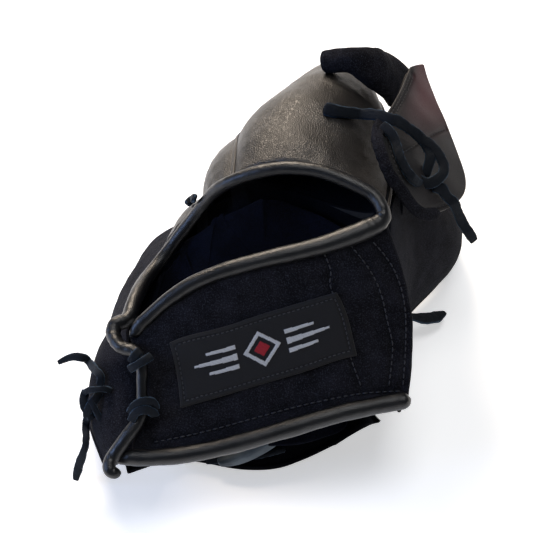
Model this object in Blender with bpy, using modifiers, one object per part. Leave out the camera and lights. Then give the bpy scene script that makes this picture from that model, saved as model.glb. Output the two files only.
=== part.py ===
"""Baseball fielder's glove for the left hand, lying palm down with its wrist end towards -Y.

Each finger is two leather walls on one seam surface, the palm is one sheet from the pinky seam over
the pocket to the thumb seam, and the strap, bindings, web and laces are pieces of their own.
Lengths are metres, +Z is up and the thumb is at +X.
"""
import bpy
import bmesh
import numpy as np
from mathutils import Vector

for item in list(bpy.data.objects):
    bpy.data.objects.remove(item, do_unlink=True)

# Driving dimensions
WIDTH = 0.200
LENGTH = 0.200
HEIGHT = 0.125
LEATHER = 0.0026
PALM_LEATHER = 0.0030
STRAP_LEATHER = 0.0030
GAP = 0.0007
LINING_LIFT = 0.0060
LINING = 0.0020
ROLL_RADIUS = 0.0030
BAR_HALF = 0.0150
BAR_DEPTH = 0.0065
TIP_NARROWING = 0.45
TONGUE_LEATHER = 0.0040
PATCH = 0.0012
LACE_RADIUS = 0.0021
TAIL_RADIUS = 0.0020

# Seam surface of the four fingers, one row per station from finger hole to fingertip
# Columns: pinky outer seam, ring/pinky, middle/ring, index/middle, index crown, index edge
# Each cell: share of WIDTH, share of LENGTH, share of HEIGHT
FINGERS = [
    [(-0.412, 0.200, 0.024), (-0.250, 0.330, 0.496), (-0.142, 0.398, 0.684), (-0.065, 0.385, 0.864),
     (0.090, 0.370, 0.936), (0.287, 0.265, 0.876)],
    [(-0.388, 0.375, 0.024), (-0.235, 0.430, 0.420), (-0.135, 0.485, 0.616), (-0.058, 0.550, 0.816),
     (0.120, 0.570, 0.944), (0.310, 0.460, 0.800)],
    [(-0.355, 0.525, 0.024), (-0.205, 0.545, 0.300), (-0.110, 0.605, 0.420), (-0.043, 0.680, 0.640),
     (0.155, 0.745, 0.864), (0.305, 0.685, 0.776)],
    [(-0.320, 0.635, 0.024), (-0.160, 0.660, 0.168), (-0.065, 0.720, 0.248), (0.000, 0.795, 0.472),
     (0.180, 0.870, 0.736), (0.285, 0.805, 0.656)],
    [(-0.280, 0.695, 0.024), (-0.135, 0.735, 0.048), (-0.020, 0.790, 0.096), (0.055, 0.870, 0.328),
     (0.190, 0.945, 0.544), (0.260, 0.890, 0.496)],
]
# Pinky seams between wrist and finger hole: outer seam, ring/pinky seam
PINKY = [
    [(-0.340, -0.185, 0.240), (-0.285, -0.165, 0.248)],
    [(-0.395, -0.035, 0.176), (-0.265, -0.010, 0.424)],
    [(-0.420, 0.090, 0.064), (-0.305, 0.090, 0.528)],
]
# Thumb seams from wrist to tip: outer seam on the floor, inner seam at the web
THUMB = [
    [(0.320, -0.070, 0.360), (0.306, -0.060, 0.415)],
    [(0.305, 0.170, 0.096), (0.296, 0.130, 0.676)],
    [(0.362, 0.390, 0.024), (0.315, 0.383, 0.784)],
    [(0.480, 0.550, 0.024), (0.435, 0.495, 0.512)],
    [(0.515, 0.700, 0.024), (0.460, 0.640, 0.368)],
    [(0.490, 0.820, 0.024), (0.460, 0.760, 0.192)],
]
# Palm from the heel edge forwards, each row from the pinky seam to the thumb seam
PALM = [
    [(-0.320, -0.185, 0.240), (-0.240, -0.070, 0.064), (-0.155, -0.035, 0.000), (0.020, -0.050, 0.000),
     (0.180, 0.020, 0.000), (0.265, 0.020, 0.120), (0.290, -0.070, 0.336)],
    [(-0.355, -0.040, 0.160), (-0.270, 0.020, 0.048), (-0.150, 0.070, 0.064), (0.015, 0.100, 0.192),
     (0.180, 0.120, 0.128), (0.245, 0.110, 0.112), (0.275, 0.080, 0.192)],
    [(-0.395, 0.110, 0.064), (-0.310, 0.170, 0.176), (-0.175, 0.230, 0.336), (0.000, 0.280, 0.480),
     (0.170, 0.275, 0.480), (0.250, 0.230, 0.352), (0.295, 0.230, 0.064)],
]
# Wrist strap from hem to finger hole, each row from the pinky side to the thumb side
STRAP = [
    [(-0.290, -0.169, 0.321), (-0.136, -0.162, 0.342), (0.064, -0.127, 0.408), (0.198, -0.096, 0.443),
     (0.327, -0.066, 0.444)],
    [(-0.278, -0.091, 0.407), (-0.125, -0.054, 0.507), (0.064, -0.020, 0.569), (0.198, 0.010, 0.605),
     (0.336, 0.026, 0.574)],
    [(-0.274, -0.022, 0.500), (-0.136, 0.043, 0.654), (0.053, 0.067, 0.701), (0.198, 0.096, 0.735),
     (0.325, 0.124, 0.722)],
    [(-0.295, 0.048, 0.584), (-0.159, 0.114, 0.740), (0.020, 0.147, 0.824), (0.153, 0.175, 0.855),
     (0.275, 0.223, 0.884)],
]
# Web tongue from the crotch to its top, each row from left edge to right edge
TONGUE = [
    [(0.325, 0.347, 0.864), (0.381, 0.339, 0.748), (0.461, 0.410, 0.676)],
    [(0.299, 0.365, 0.908), (0.390, 0.412, 0.788), (0.499, 0.483, 0.676)],
    [(0.277, 0.421, 0.956), (0.368, 0.473, 0.848), (0.483, 0.575, 0.728)],
    [(0.279, 0.493, 0.960), (0.364, 0.567, 0.884), (0.459, 0.643, 0.780)],
    [(0.326, 0.616, 0.928), (0.379, 0.675, 0.876), (0.435, 0.730, 0.804)],
    [(0.375, 0.767, 0.900), (0.392, 0.786, 0.884), (0.413, 0.807, 0.860)],
]

# Crossbar of the web from the index finger to the thumb tip
# Columns: share of WIDTH, of LENGTH and of HEIGHT, half width in BAR_HALF, half depth in BAR_DEPTH
BAR = [
    (0.150, 0.739, 0.960, 0.37, 0.85),
    (0.193, 0.726, 0.984, 0.41, 0.95),
    (0.237, 0.720, 0.984, 0.50, 1.00),
    (0.282, 0.734, 0.932, 0.73, 0.92),
    (0.327, 0.762, 0.840, 0.93, 0.77),
    (0.368, 0.754, 0.768, 0.93, 0.69),
    (0.412, 0.728, 0.664, 0.80, 0.69),
    (0.451, 0.739, 0.496, 0.67, 0.69),
    (0.471, 0.740, 0.368, 0.53, 0.69),
    (0.478, 0.740, 0.304, 0.47, 0.62),
]

# Finger walls: columns they span, height of the back, depth of the front
FINGER_WALLS = {
    "pinky": (0, 1, 0.0072, 0.0150),
    "ring": (1, 2, 0.0042, 0.0120),
    "middle": (2, 3, 0.0042, 0.0100),
    "index": (3, 5, 0.0050, 0.0190),
}
THUMB_BACK = 0.0090
THUMB_FRONT = 0.0150
FINGER_ROUND_FROM = 2.7
THUMB_ROUND_FROM = 3.6
THUMB_FRONT_FROM = 1.54
# Rolled bindings and bars, each a row of points along its middle
RIM = [
    (0.270, 0.252, 0.917),
    (0.254, 0.274, 0.934),
    (0.223, 0.293, 0.950),
    (0.087, 0.341, 0.973),
    (-0.065, 0.355, 0.891),
    (-0.145, 0.371, 0.722),
    (-0.245, 0.301, 0.545),
    (-0.286, 0.186, 0.579),
    (-0.302, 0.100, 0.589),
    (-0.328, 0.080, 0.593),
]
END_ROLL = [
    (-0.336, 0.057, 0.581),
    (-0.322, 0.028, 0.577),
    (-0.298, 0.012, 0.579),
    (-0.277, 0.000, 0.578),
    (-0.266, -0.019, 0.561),
    (-0.265, -0.035, 0.536),
    (-0.265, -0.062, 0.494),
    (-0.267, -0.101, 0.435),
    (-0.287, -0.130, 0.403),
    (-0.311, -0.154, 0.366),
    (-0.332, -0.177, 0.332),
    (-0.339, -0.198, 0.324),
    (-0.329, -0.205, 0.308),
    (-0.310, -0.205, 0.311),
]
# Laces, each a row of points along its middle
WEB_LEFT = [
    (0.146, 0.532, 0.999),
    (0.181, 0.530, 0.986),
    (0.220, 0.543, 0.960),
    (0.242, 0.543, 0.955),
    (0.273, 0.525, 0.975),
    (0.305, 0.510, 0.974),
    (0.323, 0.514, 0.958),
    (0.355, 0.515, 0.916),
    (0.382, 0.507, 0.882),
    (0.397, 0.490, 0.860),
    (0.402, 0.469, 0.844),
]
WEB_LOOP = [
    (0.354, 0.382, 0.858),
    (0.335, 0.393, 0.894),
    (0.321, 0.419, 0.924),
    (0.314, 0.449, 0.942),
    (0.318, 0.479, 0.944),
]
WEB_KNOT = [
    (0.447, 0.486, 0.778),
    (0.431, 0.450, 0.782),
    (0.404, 0.410, 0.798),
    (0.374, 0.387, 0.828),
]
WEB_RIGHT = [
    (0.427, 0.413, 0.763),
    (0.437, 0.408, 0.744),
    (0.450, 0.403, 0.721),
    (0.462, 0.399, 0.701),
    (0.483, 0.400, 0.616),
    (0.502, 0.392, 0.568),
    (0.521, 0.392, 0.512),
]
SIDE_UPPER = [
    (-0.220, -0.033, 0.548),
    (-0.239, -0.038, 0.569),
    (-0.262, -0.042, 0.590),
    (-0.283, -0.039, 0.577),
    (-0.293, -0.028, 0.546),
    (-0.296, -0.021, 0.514),
]
SIDE_LOWER = [
    (-0.220, -0.086, 0.468),
    (-0.239, -0.095, 0.482),
    (-0.262, -0.105, 0.495),
    (-0.283, -0.098, 0.487),
    (-0.293, -0.083, 0.462),
    (-0.296, -0.068, 0.442),
]
SIDE_KNOT = [
    (-0.374, -0.011, 0.385),
    (-0.399, -0.001, 0.334),
    (-0.420, 0.012, 0.270),
]
SIDE_TAIL_A = [
    (-0.369, 0.020, 0.408),
    (-0.383, 0.044, 0.396),
    (-0.407, 0.100, 0.335),
    (-0.418, 0.100, 0.359),
    (-0.447, 0.105, 0.355),
    (-0.482, 0.105, 0.320),
]
SIDE_TAIL_B = [
    (-0.392, -0.027, 0.301),
    (-0.410, -0.029, 0.219),
    (-0.406, -0.075, 0.210),
    (-0.424, -0.090, 0.117),
    (-0.439, -0.100, 0.023),
]
THUMB_END = [
    (0.376, 0.351, 0.142),
    (0.412, 0.362, 0.107),
    (0.450, 0.386, 0.072),
    (0.479, 0.414, 0.048),
]
RING_END = [
    (-0.157, 0.371, 0.778),
    (-0.169, 0.441, 0.662),
    (-0.179, 0.428, 0.661),
]
HEEL_A = [
    (-0.133, -0.046, 0.044),
    (-0.106, -0.049, 0.047),
    (-0.076, -0.050, 0.052),
]
HEEL_B = [
    (-0.047, -0.048, 0.058),
    (0.001, -0.046, 0.065),
    (0.057, -0.033, 0.069),
]
LOOSE_TAILS = ("web_lace_left", "web_lace_right", "side_lace_tail_a", "side_lace_tail_b")
# Lower and upper edge of the woven patch, from left to right, each point a station and column of the strap
PATCH_EDGES = [
    [(0.78, 0.70), (0.77, 1.24), (0.79, 1.73), (0.79, 2.32), (0.83, 3.10)],
    [(1.99, 0.57), (1.81, 1.13), (1.89, 1.61), (2.01, 2.12), (2.04, 2.76)],
]

TIP_SHORTER = 0.97
END_ROLL_RADIUS = 0.0028
# Column of the strap at which the lower rim roll ends, short of the corner where the upper one starts
TOP_ROLL_END = 3.90
# Steps between a tube's rings, in radii
ROLL_STEP = 3.0
LACE_STEP = 3.0
# Height of a back wall at its rear edge, as a share of its full height
BACK_SWELL = 0.70
PINKY_SWELL = 0.65
THUMB_SWELL = 0.40
PALM_GAP = 0.0020
KNOT_RADIUS = 0.0036
LACE_CLEAR = 0.0008
TIP_LACE_STATION = 3.2
# The crossbar's wide side faces along the first direction at the index finger, then along the second
BAR_FACES = [(0.0, 0.688, -0.725), (-0.65, 0.27, -0.71)]
# Palm columns that each finger front takes up, pinky to index
PALM_FINGER_COLUMNS = [(0.0, 1.3), (1.3, 2.3), (2.3, 3.1), (3.1, 4.8)]
PALM_THUMB_COLUMNS = (4.9, 6.0)

SMOOTH = (0.030, 0.028, 0.027, 1.0)
ROUGH = (0.016, 0.016, 0.019, 1.0)
LINING_COLOUR = (0.010, 0.013, 0.026, 1.0)
PATCH_COLOUR = (0.020, 0.020, 0.022, 1.0)
RAWHIDE = (0.022, 0.025, 0.030, 1.0)


def natural(points, at):
    """Natural cubic spline through rows of points at whole-number parameters, read at `at`."""
    p = np.asarray(points, float)
    n = len(p)
    at = np.clip(np.asarray(at, float), 0, n - 1)
    i = np.clip(np.floor(at).astype(int), 0, n - 2)
    f = (at - i).reshape(at.shape + (1,) * (p.ndim - 1))
    m = np.eye(n)
    r = np.zeros_like(p)
    if n > 2:
        inner = np.arange(1, n - 1)
        m[inner, inner - 1] = m[inner, inner + 1] = 1
        m[inner, inner] = 4
        r[1:-1] = 6 * (p[:-2] - 2 * p[1:-1] + p[2:])
    k = np.linalg.solve(m, r.reshape(n, -1)).reshape(p.shape)
    return ((1 - f) * p[i] + f * p[i + 1]
            + ((1 - f) ** 3 - (1 - f)) * k[i] / 6 + (f ** 3 - f) * k[i + 1] / 6)


def sized(table):
    """Table of shares turned into metres."""
    return np.asarray(table, float) * (WIDTH, LENGTH, HEIGHT)


def lattice(rows, u, s):
    """Surface through rows of points: natural splines along the rows' stations u, then across s."""
    down = natural(rows, u)
    return natural(np.swapaxes(down, 0, 1), s).swapaxes(0, 1)


def arch(a):
    """Height of a finger's section across its width: 0 at both seams, 1 in the middle."""
    return np.sin(np.pi * np.clip(a, 0, 1)) ** 0.75


def rounding(u, start, end):
    """Quarter ellipse from 1 at station `start` to 0 at station `end`."""
    t = np.clip((u - start) / (end - start), 0, 1)
    return np.sqrt(np.clip(1 - t ** 2, 0, 1))


def spread(count):
    """Shares 0 to 1, closer together at both ends."""
    return 0.5 - 0.5 * np.cos(np.pi * np.arange(count) / (count - 1))


def finger_surface(u, s):
    """Seam surface of the four fingers; the pinky's two seams run on to the wrist at station -3."""
    outer = natural(np.concatenate([sized(PINKY), sized(FINGERS)[:, :2]]), u + len(PINKY))
    others = natural(sized(FINGERS)[:, 2:], u)
    return natural(np.concatenate([outer, others], axis=1).swapaxes(0, 1), s).swapaxes(0, 1)


def straight_across(seams, s):
    """Surface ruled between two seams, each with one point per station."""
    s = np.asarray(s)[..., None]
    s = s[None] if s.ndim == 2 else s
    return seams[:, :1] * (1 - s) + seams[:, 1:2] * s


def pinky_surface(u, s):
    """Seam surface of the pinky from wrist to tip, ruled between its two seams."""
    return straight_across(natural(np.concatenate([sized(PINKY), sized(FINGERS)[:, :2]]), u + len(PINKY)), s)


def thumb_surface(u, s):
    """Seam surface of the thumb, ruled between its outer seam (0) and its inner seam (1)."""
    return straight_across(natural(sized(THUMB), u), s)


def outward(surface, u, s, step=0.02):
    """Unit normals of a surface, from its slopes along and across; s holds one row per station."""
    rows = []
    for du, ds in ((step, 0), (-step, 0), (0, step), (0, -step)):
        rows.append(read(surface, u + du, s + ds))
    n = np.cross(rows[2] - rows[3], rows[0] - rows[1])
    return n / np.linalg.norm(n, axis=-1, keepdims=True)


def read(surface, u, s):
    """Surface at stations u, where row i of s holds the columns wanted at station u[i]."""
    return np.stack([surface(u[i:i + 1], s[i])[0] for i in range(len(u))])


def wall(surface, u, a, columns, side, height, round_from, end, inset, swell=1.0):
    """One skin of a finger wall: its seam surface pushed out (side 1) or in (side -1).

    The push is half the seam gap plus `height` times an arch across, a rounding along from station
    `round_from` to `end`, and a swell that grows from `swell` to 1 over the first station.
    `inset` narrows the skin at both seams, in columns, and the tip narrows by TIP_NARROWING.
    """
    first, last = columns
    t = np.clip((u - round_from) / (end - round_from), 0, 1)
    half = (last - first - 2 * inset) / 2 * (1 - TIP_NARROWING * t ** 3)
    s = (first + last) / 2 + np.outer(half, 2 * a - 1)
    rise = swell + (1 - swell) * np.clip((u - u[0]) / 0.8, 0, 1)
    push = GAP / 2 + height * np.outer(rounding(u, round_from, end) * rise, arch(a))
    return read(surface, u, s) + side * push[..., None] * outward(surface, u, s)


def offset(grid, distance):
    """Grid moved along its own normals, which are the cross product of its two slopes."""
    along = np.gradient(grid, axis=0)
    across = np.gradient(grid, axis=1)
    n = np.cross(across, along)
    return grid + distance * n / np.linalg.norm(n, axis=-1, keepdims=True)


collection = bpy.data.collections.new("fielders_glove")
bpy.context.scene.collection.children.link(collection)


def material(name, colour, roughness):
    """Principled material, made once per name."""
    found = bpy.data.materials.get(name)
    if found:
        return found
    made = bpy.data.materials.new(name)
    made.use_nodes = True
    shader = made.node_tree.nodes["Principled BSDF"]
    shader.inputs["Base Color"].default_value = colour
    shader.inputs["Roughness"].default_value = roughness
    shader.inputs["Metallic"].default_value = 0.0
    made.diffuse_color = colour
    return made


def finish(name, mesh, look):
    """Object of a mesh, in the collection, shaded smooth with its material."""
    item = bpy.data.objects.new(name, mesh)
    collection.objects.link(item)
    mesh.materials.append(material(*look))
    mesh.shade_smooth()
    return item


def grid_mesh(name, grid):
    """Open quad mesh of a grid of points."""
    rows, columns = grid.shape[:2]
    index = np.arange(rows * columns).reshape(rows, columns)
    quads = np.stack([index[:-1, :-1], index[:-1, 1:], index[1:, 1:], index[1:, :-1]], -1)
    mesh = bpy.data.meshes.new(name)
    mesh.from_pydata(grid.reshape(-1, 3).tolist(), [], quads.reshape(-1, 4).tolist())
    return mesh


def sheet(name, grid, thickness, look):
    """Leather sheet: an open surface that Solidify thickens below its own normals."""
    item = finish(name, grid_mesh(name, grid), look)
    solid = item.modifiers.new("thickness", "SOLIDIFY")
    solid.thickness = thickness
    solid.offset = -1.0
    solid.use_even_offset = False
    return item


def shell(name, outer, inner, look):
    """Closed wall lofted between an outer and an inner skin with the same rows and columns."""
    mesh = grid_mesh(name, outer)
    lining = grid_mesh(name + "_inner", inner)
    work = bmesh.new()
    work.from_mesh(mesh)
    count = len(work.verts)
    work.from_mesh(lining)
    work.verts.ensure_lookup_table()
    rows, columns = outer.shape[:2]
    index = np.arange(rows * columns).reshape(rows, columns)
    loop = np.concatenate([index[0, :-1], index[:-1, -1], index[-1, :0:-1], index[:0:-1, 0]])
    for here, there in zip(loop, np.roll(loop, -1)):
        work.faces.new([work.verts[k] for k in (here, there, there + count, here + count)])
    bmesh.ops.recalc_face_normals(work, faces=work.faces)
    if work.calc_volume(signed=True) < 0:
        bmesh.ops.reverse_faces(work, faces=work.faces)
    work.to_mesh(mesh)
    work.free()
    bpy.data.meshes.remove(lining)
    return finish(name, mesh, look)


def tube(name, points, radius, look, sides=2):
    """Round bar along points, as a curve with filled caps."""
    curve = bpy.data.curves.new(name, "CURVE")
    curve.dimensions = "3D"
    curve.bevel_depth = radius
    curve.bevel_resolution = sides
    curve.use_fill_caps = True
    spline = curve.splines.new("POLY")
    spline.points.add(len(points) - 1)
    spline.points.foreach_set("co", np.c_[points, np.ones(len(points))].ravel())
    item = bpy.data.objects.new(name, curve)
    collection.objects.link(item)
    curve.materials.append(material(*look))
    return item


def smooth_path(points, step):
    """Points read about every `step` along a natural spline through a few chosen points."""
    fine = natural(points, np.linspace(0, len(points) - 1, 40 * len(points)))
    run = np.r_[0, np.cumsum(np.linalg.norm(np.diff(fine, axis=0), axis=1))]
    count = max(int(round(run[-1] / step)), 2) + 1
    at = np.linspace(0, run[-1], count)
    return np.stack([np.interp(at, run, fine[:, k]) for k in range(3)], -1)


smooth_leather = ("smooth_leather", SMOOTH, 0.42)
rough_leather = ("rough_leather", ROUGH, 0.85)
lining_leather = ("lining_leather", LINING_COLOUR, 0.8)
woven_patch = ("woven_patch", PATCH_COLOUR, 0.75)
rawhide = ("rawhide_lace", RAWHIDE, 0.6)


def floored(grid, least=0.0):
    """Grid with no point lower than `least`, as leather lies flat where it rests."""
    out = grid.copy()
    out[..., 2] = np.maximum(out[..., 2], least)
    return out


def width_of(surface, stations, columns):
    """Mean distance between two columns of a surface over a few stations."""
    u = np.linspace(stations[0], stations[1], 7)
    ends = read(surface, u, np.tile(np.array(columns, float), (7, 1)))
    return np.linalg.norm(ends[:, 1] - ends[:, 0], axis=-1).mean()


def finger_wall(name, surface, stations, columns, side, height, round_from, look, swell=1.0, count=9):
    """One leather wall of a finger, lofted between two skins whose edges lie on the seam surface."""
    start, end, rows = stations
    u = np.linspace(start, end, rows)
    a = spread(count)
    share = (columns[1] - columns[0]) / width_of(surface, (start, end), columns)
    clear = GAP / 2 * share
    outer = wall(surface, u, a, columns, side, height, round_from, end, clear, swell)
    near = start + (u - start) * TIP_SHORTER
    inner = wall(surface, near, a, columns, side, height - LEATHER, round_from,
                 start + (end - start) * TIP_SHORTER, clear + LEATHER * share,
                 (height * swell - LEATHER) / (height - LEATHER))
    return shell(name, floored(outer), floored(inner, LEATHER), look)


for name, (first, last, height, depth) in FINGER_WALLS.items():
    pinky = name == "pinky"
    surface = pinky_surface if pinky else finger_surface
    look = rough_leather if pinky else smooth_leather
    stations = (-len(PINKY), 4, 24) if pinky else (0, 4, 14)
    finger_wall(name + "_back", surface, stations, (first, last), 1, height, FINGER_ROUND_FROM, look,
                PINKY_SWELL if pinky else BACK_SWELL)
    finger_wall(name + "_front", surface, (0, 4, 12), (first, last), -1, depth, FINGER_ROUND_FROM,
                smooth_leather)

finger_wall("thumb_back", thumb_surface, (0, 5, 16), (0, 1), -1, THUMB_BACK, THUMB_ROUND_FROM, rough_leather,
            THUMB_SWELL)
finger_wall("thumb_front", thumb_surface, (THUMB_FRONT_FROM, 5, 10), (0, 1), 1, THUMB_FRONT, THUMB_ROUND_FROM,
            smooth_leather)

strap_rows = sized(STRAP)
strap_grid = lattice(strap_rows, np.linspace(0.17, 2.77, 9), np.linspace(0.07, 3.97, 17))
sheet("wrist_strap", strap_grid, STRAP_LEATHER, rough_leather)
hem = lattice(strap_rows, np.zeros(1), np.linspace(0, 4, 60))[0]
top = lattice(strap_rows, np.full(1, 3.0), np.linspace(0, TOP_ROLL_END, 60))[0]
tube("hem_roll", smooth_path(hem, ROLL_STEP * ROLL_RADIUS), ROLL_RADIUS, smooth_leather)
tube("lower_rim_roll", smooth_path(top, ROLL_STEP * ROLL_RADIUS), ROLL_RADIUS, smooth_leather)
tube("upper_rim_roll", smooth_path(sized(RIM), ROLL_STEP * ROLL_RADIUS), ROLL_RADIUS, smooth_leather)
tube("strap_end_roll", smooth_path(sized(END_ROLL), ROLL_STEP * END_ROLL_RADIUS), END_ROLL_RADIUS,
     smooth_leather)

tongue_rows = sized(TONGUE)
tongue = lattice(tongue_rows, np.linspace(0, 5, 13), np.linspace(0, 2, 7))
sheet("web_tongue", tongue, TONGUE_LEATHER, smooth_leather)


def bar_rings(around, along):
    """Rings of the crossbar: ellipses square to a smooth path, the wide axis turned towards the back."""
    table = np.array(BAR)
    middle = natural(table[:, :3] * (WIDTH, LENGTH, HEIGHT), along)
    half = natural(table[:, 3:] * (BAR_HALF, BAR_DEPTH), along)
    run = np.gradient(middle, axis=0)
    run /= np.linalg.norm(run, axis=1, keepdims=True)
    share = np.clip((along - 2.0) / 1.5, 0, 1)[:, None]
    wide = np.cross(run, (1 - share) * np.array(BAR_FACES[0]) + share * np.array(BAR_FACES[1]))
    wide /= np.linalg.norm(wide, axis=1, keepdims=True)
    deep = np.cross(run, wide)
    angle = np.linspace(0, 2 * np.pi, around, endpoint=False)
    return (middle[:, None] + np.cos(angle)[None, :, None] * (wide * half[:, :1])[:, None]
            + np.sin(angle)[None, :, None] * (deep * half[:, 1:])[:, None])


def loft(name, rings, look):
    """Closed body lofted through rings of points, with a flat face at each end."""
    count, around = rings.shape[:2]
    work = bmesh.new()
    verts = [[work.verts.new(p) for p in ring] for ring in rings]
    for low, high in zip(verts, verts[1:]):
        for k in range(around):
            work.faces.new([low[k], low[(k + 1) % around], high[(k + 1) % around], high[k]])
    work.faces.new(verts[0])
    work.faces.new(verts[-1])
    bmesh.ops.recalc_face_normals(work, faces=work.faces)
    mesh = bpy.data.meshes.new(name)
    work.to_mesh(mesh)
    work.free()
    return finish(name, mesh, look)


rings = bar_rings(12, np.linspace(0, len(BAR) - 1, 17))
nose = rings[:1] * 0.45 + rings[:1].mean(1, keepdims=True) * 0.55
nose = nose - (rings[1:2] - rings[:1]).mean(1, keepdims=True) * 0.35
loft("web_crossbar", np.concatenate([nose, rings]), rough_leather)

for name, table, radius in (
        ("web_lace_left", WEB_LEFT, TAIL_RADIUS), ("web_lace_loop", WEB_LOOP, TAIL_RADIUS),
        ("web_knot", WEB_KNOT, LACE_RADIUS), ("web_lace_right", WEB_RIGHT, TAIL_RADIUS),
        ("side_lace_upper", SIDE_UPPER, LACE_RADIUS), ("side_lace_lower", SIDE_LOWER, LACE_RADIUS),
        ("side_knot", SIDE_KNOT, KNOT_RADIUS), ("side_lace_tail_a", SIDE_TAIL_A, TAIL_RADIUS),
        ("side_lace_tail_b", SIDE_TAIL_B, TAIL_RADIUS), ("thumb_lace_end", THUMB_END, TAIL_RADIUS),
        ("ring_lace_end", RING_END, LACE_RADIUS), ("heel_lace_a", HEEL_A, LACE_RADIUS),
        ("heel_lace_b", HEEL_B, LACE_RADIUS)):
    tube(name, smooth_path(sized(table), LACE_STEP * radius), radius, rawhide)


def back_height(station, s):
    """Height of the finger backs over the seam surface at one station, for columns s."""
    out = np.zeros(len(s))
    for first, last, height, _ in FINGER_WALLS.values():
        inside = (s >= first) & (s <= last)
        a = (s - first) / (last - first)
        out = np.where(inside, height * arch(a) * rounding(station, FINGER_ROUND_FROM, 4), out)
    return out


# Lace across the backs of neighbouring fingers, near their tips
for name, seam in (("tip_lace_a", 3), ("tip_lace_b", 2), ("tip_lace_c", 1)):
    s = seam + np.array([-0.32, -0.18, 0.18, 0.32])
    base = finger_surface(np.full(1, TIP_LACE_STATION), s)[0]
    lift = back_height(TIP_LACE_STATION, s) + LACE_RADIUS + LACE_CLEAR
    up = outward(finger_surface, np.full(1, TIP_LACE_STATION), s[None])[0]
    tube(name, smooth_path(base + lift[:, None] * up, LACE_STEP * LACE_RADIUS), LACE_RADIUS, rawhide)

at = lattice(PATCH_EDGES, np.linspace(0, 1, 6), np.linspace(0, 4, 13))


def strap_surface(u, s):
    """Outer face of the wrist strap."""
    return lattice(sized(STRAP), u, s)


patch = np.stack([read(strap_surface, row[:, 0], row[:, 1:])[:, 0] for row in at])
patch = offset(patch, GAP + PATCH)
sheet("label_patch", patch, PATCH, woven_patch)


def front_skins():
    """Rear edges of the finger and thumb fronts, in one row from the pinky seam to the thumb seam.

    Returns the outer and inner edge, moved back by PALM_GAP, and each point's column in the palm table.
    """
    outer, inner, columns = [], [], []
    a = spread(9)
    walls = [(pinky_surface if name == "pinky" else finger_surface, 0, 4, span[:2], -1, span[3],
              FINGER_ROUND_FROM, at) for (name, span), at in zip(FINGER_WALLS.items(), PALM_FINGER_COLUMNS)]
    walls.append((thumb_surface, THUMB_FRONT_FROM, 5, (0, 1), 1, THUMB_FRONT, THUMB_ROUND_FROM,
                  PALM_THUMB_COLUMNS))
    for surface, start, end, (first, last), side, depth, round_from, (low, high) in walls:
        share = (last - first) / width_of(surface, (start, end), (first, last))
        u = np.array([start, start + 0.05])
        skins = [wall(surface, u, a, (first, last), side, depth - thick, round_from, end,
                      (GAP / 2 + thick) * share) for thick in (0, LEATHER)]
        back = skins[0][0] - skins[0][1]
        back = PALM_GAP * back / np.linalg.norm(back, axis=-1, keepdims=True)
        turn = slice(None, None, -1) if side > 0 else slice(None)
        outer.append((skins[0][0] + back)[turn])
        inner.append((skins[1][0] + back)[turn])
        columns.append(low + (high - low) * a)
    return np.concatenate(outer), np.concatenate(inner), np.concatenate(columns)


def palm_skins(along, lift, thickness):
    """Lower and upper skin of a layer that lies `lift` above the pocket side of the palm.

    Each column is a natural spline from the heel to the rear edge of the finger fronts, read at
    `along`, 0 at the heel to 3 at the fingers. The layer's ends there follow the fronts' own leather.
    """
    outer, inner, columns = front_skins()
    rows = natural(np.swapaxes(sized(PALM), 0, 1), columns).swapaxes(0, 1)
    low = natural(np.concatenate([rows, outer[None]]), along)
    up = offset(low, 1.0) - low
    ends = (inner - outer) / np.linalg.norm(inner - outer, axis=-1, keepdims=True)
    blend = np.clip((np.asarray(along) - 2) / 1.0, 0, 1)[:, None, None] ** 2
    up = up * (1 - blend) + ends[None] * blend
    up /= np.linalg.norm(up, axis=-1, keepdims=True)
    return low + lift * up, low + (lift + thickness) * up


low, high = palm_skins(np.linspace(0, 3, 11), 0.0, PALM_LEATHER)
keep = slice(1, -3)
shell("palm", floored(low[:, keep]), floored(high[:, keep], PALM_LEATHER), smooth_leather)
low, high = palm_skins(np.linspace(0.3, 2.75, 8), PALM_LEATHER + LINING_LIFT, LINING)
keep = slice(6, -10)
shell("hand_lining", low[:, keep], high[:, keep], lining_leather)

# The part's origin is the middle of its footprint on the surface that it lies on, without the loose tails
bpy.context.view_layer.update()
graph = bpy.context.evaluated_depsgraph_get()
corners = np.concatenate([
    [tuple(vertex.co) for vertex in item.evaluated_get(graph).to_mesh().vertices]
    for item in collection.objects if item.name not in LOOSE_TAILS])
middle = (corners.min(0) + corners.max(0)) / 2
root = bpy.data.objects.new("glove_root", None)
collection.objects.link(root)
for item in list(collection.objects):
    if item is not root:
        item.parent = root
root.location = (-middle[0], -middle[1], 0.0)
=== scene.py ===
"""Looks of a left-hand fielder's glove: leather, suede, bindings, stitches, laces, patch and studio.

The seams, strap, web and lace routes repeat the shares of the glove's sizes that its solids are built
from, and each surface here is read on a much finer grid, with the relief of the real leather on it.
Lengths are metres; +Z is up, the fingers point to +Y and the thumb is at +X.
"""

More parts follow.
